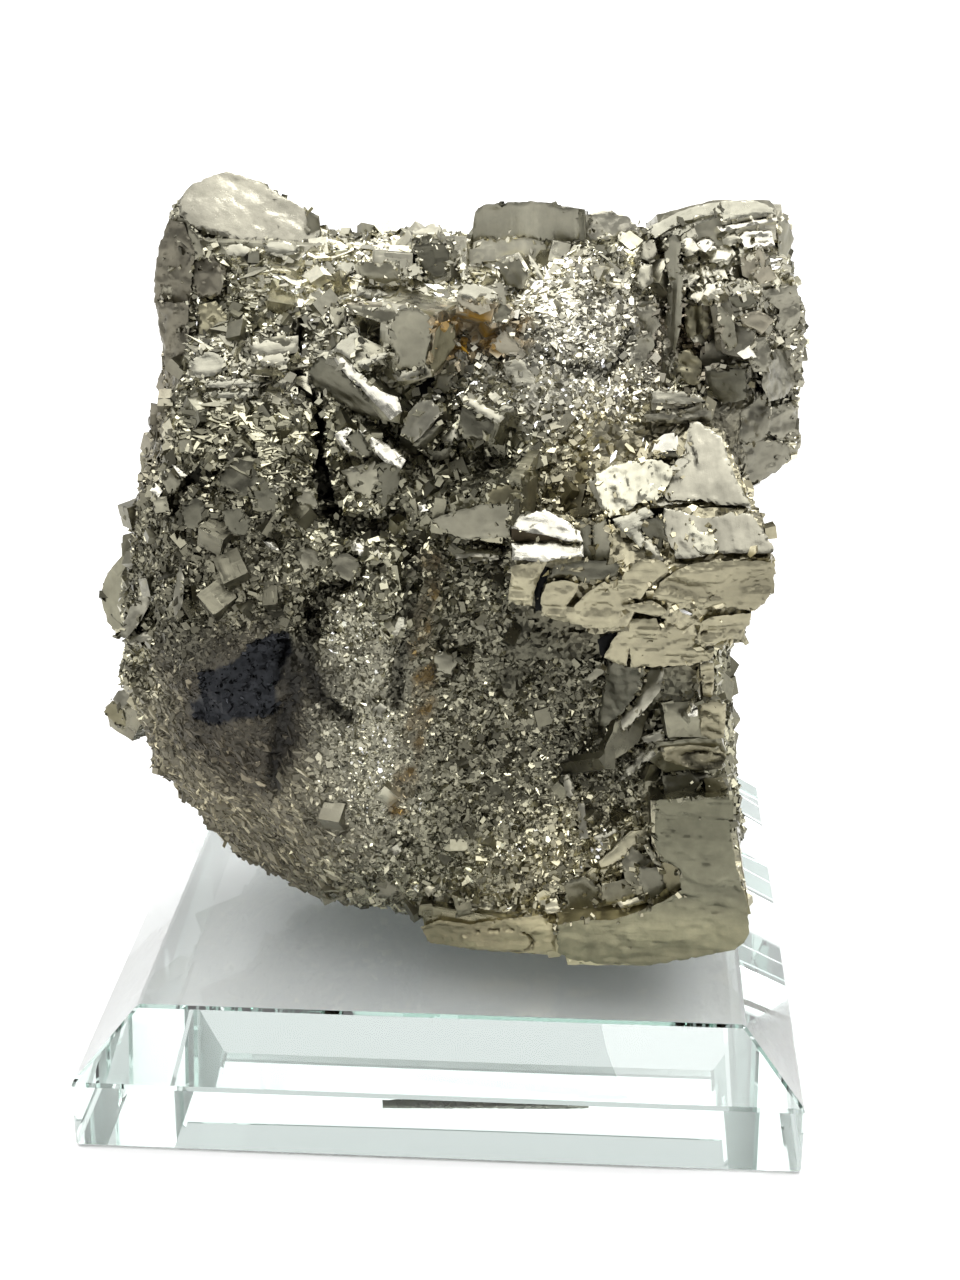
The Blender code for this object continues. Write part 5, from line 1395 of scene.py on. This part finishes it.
# Name, number, where, least and most size, seed, shapes, mode, how far they stand out, shine and light: how
# far their colour may be lightened, and the share lightened as a painted highlight.
GROWTHS = [
    ("flats_0", 13800, facing, (0.45, 1.8), 100, FLATS, "flats", (0.0, 0.2)),
    ("grains_0", 9000, facing, (0.35, 1.2), 110, BLOCKS, "blocks", (-0.3, 0.1)),
    ("flats_1", 13800, facing, (0.45, 1.8), 101, FLATS, "flats", (0.0, 0.2)),
    ("grains_1", 9000, facing, (0.35, 1.2), 111, BLOCKS, "blocks", (-0.3, 0.1)),
    ("glints", 9000, glinty, (0.4, 1.3), 150, FLATS, "glints", (0.15, 0.4), 3.2, 0.4),
    ("ledges", 750, glinty * stepped * away, (0.9, 2.4), 160, FLATS, "ledges", (0.1, 0.35), 1.7, 0.3),
    ("plates", 700, facing * away, (1.5, 2.9), 170, FLATS, "flats", (0.1, 0.2), 1.2, 0.15),
    ("fibres", 2600, fibrous, (0.8, 2.2), 180, FLATS, "fibres", (0.0, 0.25), 1.5, 0.35),
    ("small_cubes", 1300, coarse, (1.0, 3.3), 200, CUBES, "cubes", (-0.5, -0.15), 1.0, 0.05),
    ("block_tops", int(5 * bare_area), bare, (0.5, 1.9), 190, FLATS, "flats", (0.1, 0.3)),
]
pieces = [crust] + crystals + [scatter(*growth) for growth in GROWTHS]


def loose_crystals():
    """The crystals that lie on the standing faces and along their rims, as one piece."""
    places = np.array([tuple(shard.place) for shard in shards])
    leans = unit(np.array([tuple(shard.lean) for shard in shards]))
    ways = np.array([tuple(shard.way) for shard in shards])
    ways = unit(ways - leans * np.einsum("ij,ij->i", ways, leans)[:, None])
    turns = np.stack([ways, np.cross(leans, ways), leans], axis=2)
    sizes = np.array([shard.size for shard in shards])
    tint, finish = paint(places)
    tint = tint * np.array([shard.value for shard in shards])[:, None]
    finish[:, 0] = [shard.roughness for shard in shards]
    kinds = np.arange(len(shards)) % len(FLATS)
    return placed_shapes("shards", FLATS, kinds, places, turns, sizes, tint, finish)


pieces.append(loose_crystals())

# ---------------------------------------------------------------- materials
WARP_DEPTH = 0.4 * MM  # of the slow waves
LINE_DEPTH = 0.06 * MM  # of the striations
RUBBLE_CELL = 0.6  # size of the small flats of the crust
RUBBLE_SLANT = 0.6  # how much they slant


def add_node(tree, kind, inputs, **settings):
    """A shader node. Each of its inputs named is joined to another node's output, or set to a value."""
    node = tree.nodes.new("ShaderNode" + kind)
    for name, value in settings.items():
        setattr(node, name, value)
    for place, value in inputs.items():
        if isinstance(value, bpy.types.NodeSocket):
            tree.links.new(value, node.inputs[place])
        else:
            node.inputs[place].default_value = value
    return node


def new_material(name):
    """A material, its node tree and its shader."""
    material = bpy.data.materials.new(name)
    material.use_nodes = True
    return material, material.node_tree, material.node_tree.nodes["Principled BSDF"]


def base_nodes(tree, shader, scale, low, high, swing):
    """Colour from tint times a mottle, and roughness from finish with the same mottle."""
    place = add_node(tree, "TexCoord", {})
    tint = add_node(tree, "Attribute", {}, attribute_name="tint")
    finish = add_node(tree, "Attribute", {}, attribute_name="finish")
    parts = add_node(tree, "SeparateColor", {"Color": finish.outputs["Color"]})
    mottle = add_node(tree, "TexNoise", {"Scale": scale, "Detail": 4, "Vector": place.outputs["Object"]})
    mottle = mottle.outputs["Fac"]
    level = add_node(tree, "MapRange", {"From Min": 0.3, "From Max": 0.7, "To Min": low, "To Max": high,
                                        "Value": mottle})
    colour = add_node(tree, "VectorMath", {0: tint.outputs["Color"], 1: level.outputs["Result"]},
                      operation="MULTIPLY")
    tree.links.new(colour.outputs["Vector"], shader.inputs["Base Color"])
    lower = add_node(tree, "Math", {0: parts.outputs["Red"], 1: swing / 2}, operation="SUBTRACT")
    uneven = add_node(tree, "Math", {0: mottle, 1: swing, 2: lower.outputs["Value"]},
                      operation="MULTIPLY_ADD")
    tree.links.new(uneven.outputs["Value"], shader.inputs["Roughness"])
    tree.links.new(parts.outputs["Green"], shader.inputs["Metallic"])
    return place, finish, parts


def rubble_material(name, cell, most):
    """Each sub-millimetre cell of the surface is a small flat of its own slant."""
    material, tree, shader = new_material(name)
    place, _, parts = base_nodes(tree, shader, 1100, 0.7, 1.25, 0.16)
    cells = add_node(tree, "TexVoronoi", {"Scale": 1 / (cell * MM), "Vector": place.outputs["Object"]})
    slant = add_node(tree, "VectorMath", {0: cells.outputs["Color"], 1: (0.5, 0.5, 0.5)},
                     operation="SUBTRACT")
    strength = add_node(tree, "Math", {0: parts.outputs["Blue"], 1: most}, operation="MULTIPLY")
    scaled = add_node(tree, "VectorMath", {0: slant.outputs["Vector"], "Scale": strength.outputs["Value"]},
                      operation="SCALE")
    surface = add_node(tree, "NewGeometry", {})
    added = add_node(tree, "VectorMath", {0: surface.outputs["Normal"], 1: scaled.outputs["Vector"]},
                     operation="ADD")
    level = add_node(tree, "VectorMath", {0: added.outputs["Vector"]}, operation="NORMALIZE")
    tree.links.new(level.outputs["Vector"], shader.inputs["Normal"])
    return material


def chip_material():
    """Small crystals: clean flats with a little tarnish."""
    material, tree, shader = new_material("sulphide_chips")
    base_nodes(tree, shader, 1500, 0.85, 1.12, 0.1)
    return material


def crystal_material():
    """Carved faces: a slow warp, and striations along each face's own edge."""
    material, tree, shader = new_material("sulphide_crystal")
    place, finish, parts = base_nodes(tree, shader, 700, 0.84, 1.14, 0.3)
    streak = add_node(tree, "Attribute", {}, attribute_name="streak")
    drawn = add_node(tree, "Mapping", {"Scale": (0.15, 2.4, 1.0), "Vector": streak.outputs["Vector"]})
    lines = add_node(tree, "TexNoise", {"Scale": 1.0, "Detail": 3, "Vector": drawn.outputs["Vector"]})
    warp = add_node(tree, "TexNoise", {"Scale": 190, "Detail": 9, "Roughness": 0.62,
                                       "Vector": place.outputs["Object"]})
    slow = add_node(tree, "Bump", {"Distance": WARP_DEPTH, "Strength": finish.outputs["Alpha"],
                                   "Height": warp.outputs["Fac"]})
    fine = add_node(tree, "Bump", {"Distance": LINE_DEPTH, "Strength": parts.outputs["Blue"],
                                   "Height": lines.outputs["Fac"], "Normal": slow.outputs["Normal"]})
    tree.links.new(fine.outputs["Normal"], shader.inputs["Normal"])
    return material


def glass_material():
    """Clear glass with a faint green depth."""
    material, tree, shader = new_material("clear_glass")
    shader.inputs["Base Color"].default_value = (1, 1, 1, 1)
    shader.inputs["Roughness"].default_value = 0.0
    shader.inputs["IOR"].default_value = 1.52
    shader.inputs["Transmission Weight"].default_value = 1.0
    depth = add_node(tree, "VolumeAbsorption", {"Color": (0.56, 0.71, 0.66, 1), "Density": 6.5})
    tree.links.new(depth.outputs["Volume"], tree.nodes["Material Output"].inputs["Volume"])
    return material


sulphide = rubble_material("sulphide", RUBBLE_CELL, RUBBLE_SLANT)
sulphide_chips = chip_material()
sulphide_crystal = crystal_material()
for piece in pieces:
    own = sulphide if piece is crust else sulphide_crystal if piece in crystals else sulphide_chips
    piece.data.materials.append(own)
    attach(piece, "root")
    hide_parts("mineral_cluster")

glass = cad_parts["glass_base"]
glass.data.materials.clear()
glass.data.materials.append(glass_material())

# ---------------------------------------------------------------- floor, light and camera
FLOOR_REACH = 4.0
FLOOR_GAP = 0.0002  # keeps the floor off the glass block's underside
CAMERA_PITCH = 21.62
CAMERA_YAW = -3.63
SENSOR = 24
FOCAL_SHARE = 2008 / 1280  # focal length over the height of the frame

corners = [(x, y, 0) for x, y in ((-1, -1), (1, -1), (1, 1), (-1, 1))]
floor_mesh = bpy.data.meshes.new("floor")
floor_mesh.from_pydata([Vector(corner) * FLOOR_REACH for corner in corners], [], [(0, 1, 2, 3)])
floor = bpy.data.objects.new("floor", floor_mesh)
bpy.context.scene.collection.objects.link(floor)
floor.location.z = -FLOOR_GAP
floor_material, _, shader = new_material("white_table")
shader.inputs["Base Color"].default_value = (0.9, 0.9, 0.9, 1)
shader.inputs["Roughness"].default_value = 0.5
floor_mesh.materials.append(floor_material)

world = bpy.data.worlds.new("studio")
bpy.context.scene.world = world
world.use_nodes = True
studio = world.node_tree
way = add_node(studio, "TexCoord", {})
split = add_node(studio, "SeparateXYZ", {"Vector": way.outputs["Generated"]})


def ramp(axis, start, stop, low, high):
    """A smooth step of one coordinate of the direction."""
    inputs = {"From Min": start, "From Max": stop, "To Min": low, "To Max": high,
              "Value": split.outputs[axis]}
    return add_node(studio, "MapRange", inputs, interpolation_type="SMOOTHSTEP").outputs["Result"]


def combined(operation, first, second):
    """One number from two."""
    return add_node(studio, "Math", {0: first, 1: second}, operation=operation).outputs["Value"]


wall = ramp("Y", -0.75, 0.35, 0.42, 0.9)  # darker behind the camera
horizon = ramp("Z", 0.03, 0.2, 0.85, 0.0)
ceiling = ramp("Z", 0.62, 0.86, 0.0, 2.2)
total = combined("ADD", combined("MAXIMUM", wall, horizon), ceiling)
studio.links.new(total, studio.nodes["Background"].inputs["Strength"])
studio.nodes["Background"].inputs["Color"].default_value = (1, 1, 1, 1)


def soft_light(name, azimuth, elevation, spread, strength):
    """A far, wide softbox. Azimuth 0 is behind the object and 90 on its right."""
    data = bpy.data.lights.new(name, "SUN")
    data.angle = math.radians(spread)
    data.energy = strength
    lamp = bpy.data.objects.new(name, data)
    bpy.context.scene.collection.objects.link(lamp)
    a, e = math.radians(azimuth), math.radians(elevation)
    towards = Vector((math.sin(a) * math.cos(e), math.cos(a) * math.cos(e), math.sin(e)))
    lamp.rotation_euler = towards.to_track_quat("Z", "Y").to_euler()


soft_light("top_light", 15, 60, 14, 1.0)
soft_light("left_light", -75, 52, 12, 0.16)
soft_light("right_light", 120, 46, 12, 0.16)
soft_light("front_light", 170, 58, 10, 0.10)

camera_data = bpy.data.cameras.new("camera")
camera = bpy.data.objects.new("camera", camera_data)
bpy.context.scene.collection.objects.link(camera)
camera.location = EYE * MM
camera.rotation_euler = (math.radians(90 - CAMERA_PITCH), 0, math.radians(-CAMERA_YAW))
camera_data.sensor_fit = "VERTICAL"
camera_data.sensor_height = SENSOR
camera_data.lens = SENSOR * FOCAL_SHARE
camera_data.clip_start = 0.01
camera_data.clip_end = 20
bpy.context.scene.camera = camera
bpy.context.scene.view_settings.view_transform = "Standard"
# Light crosses the clear block many times between its bevels.
BOUNCES = 24
bpy.context.scene.cycles.max_bounces = BOUNCES
bpy.context.scene.cycles.glossy_bounces = BOUNCES
bpy.context.scene.cycles.transmission_bounces = BOUNCES
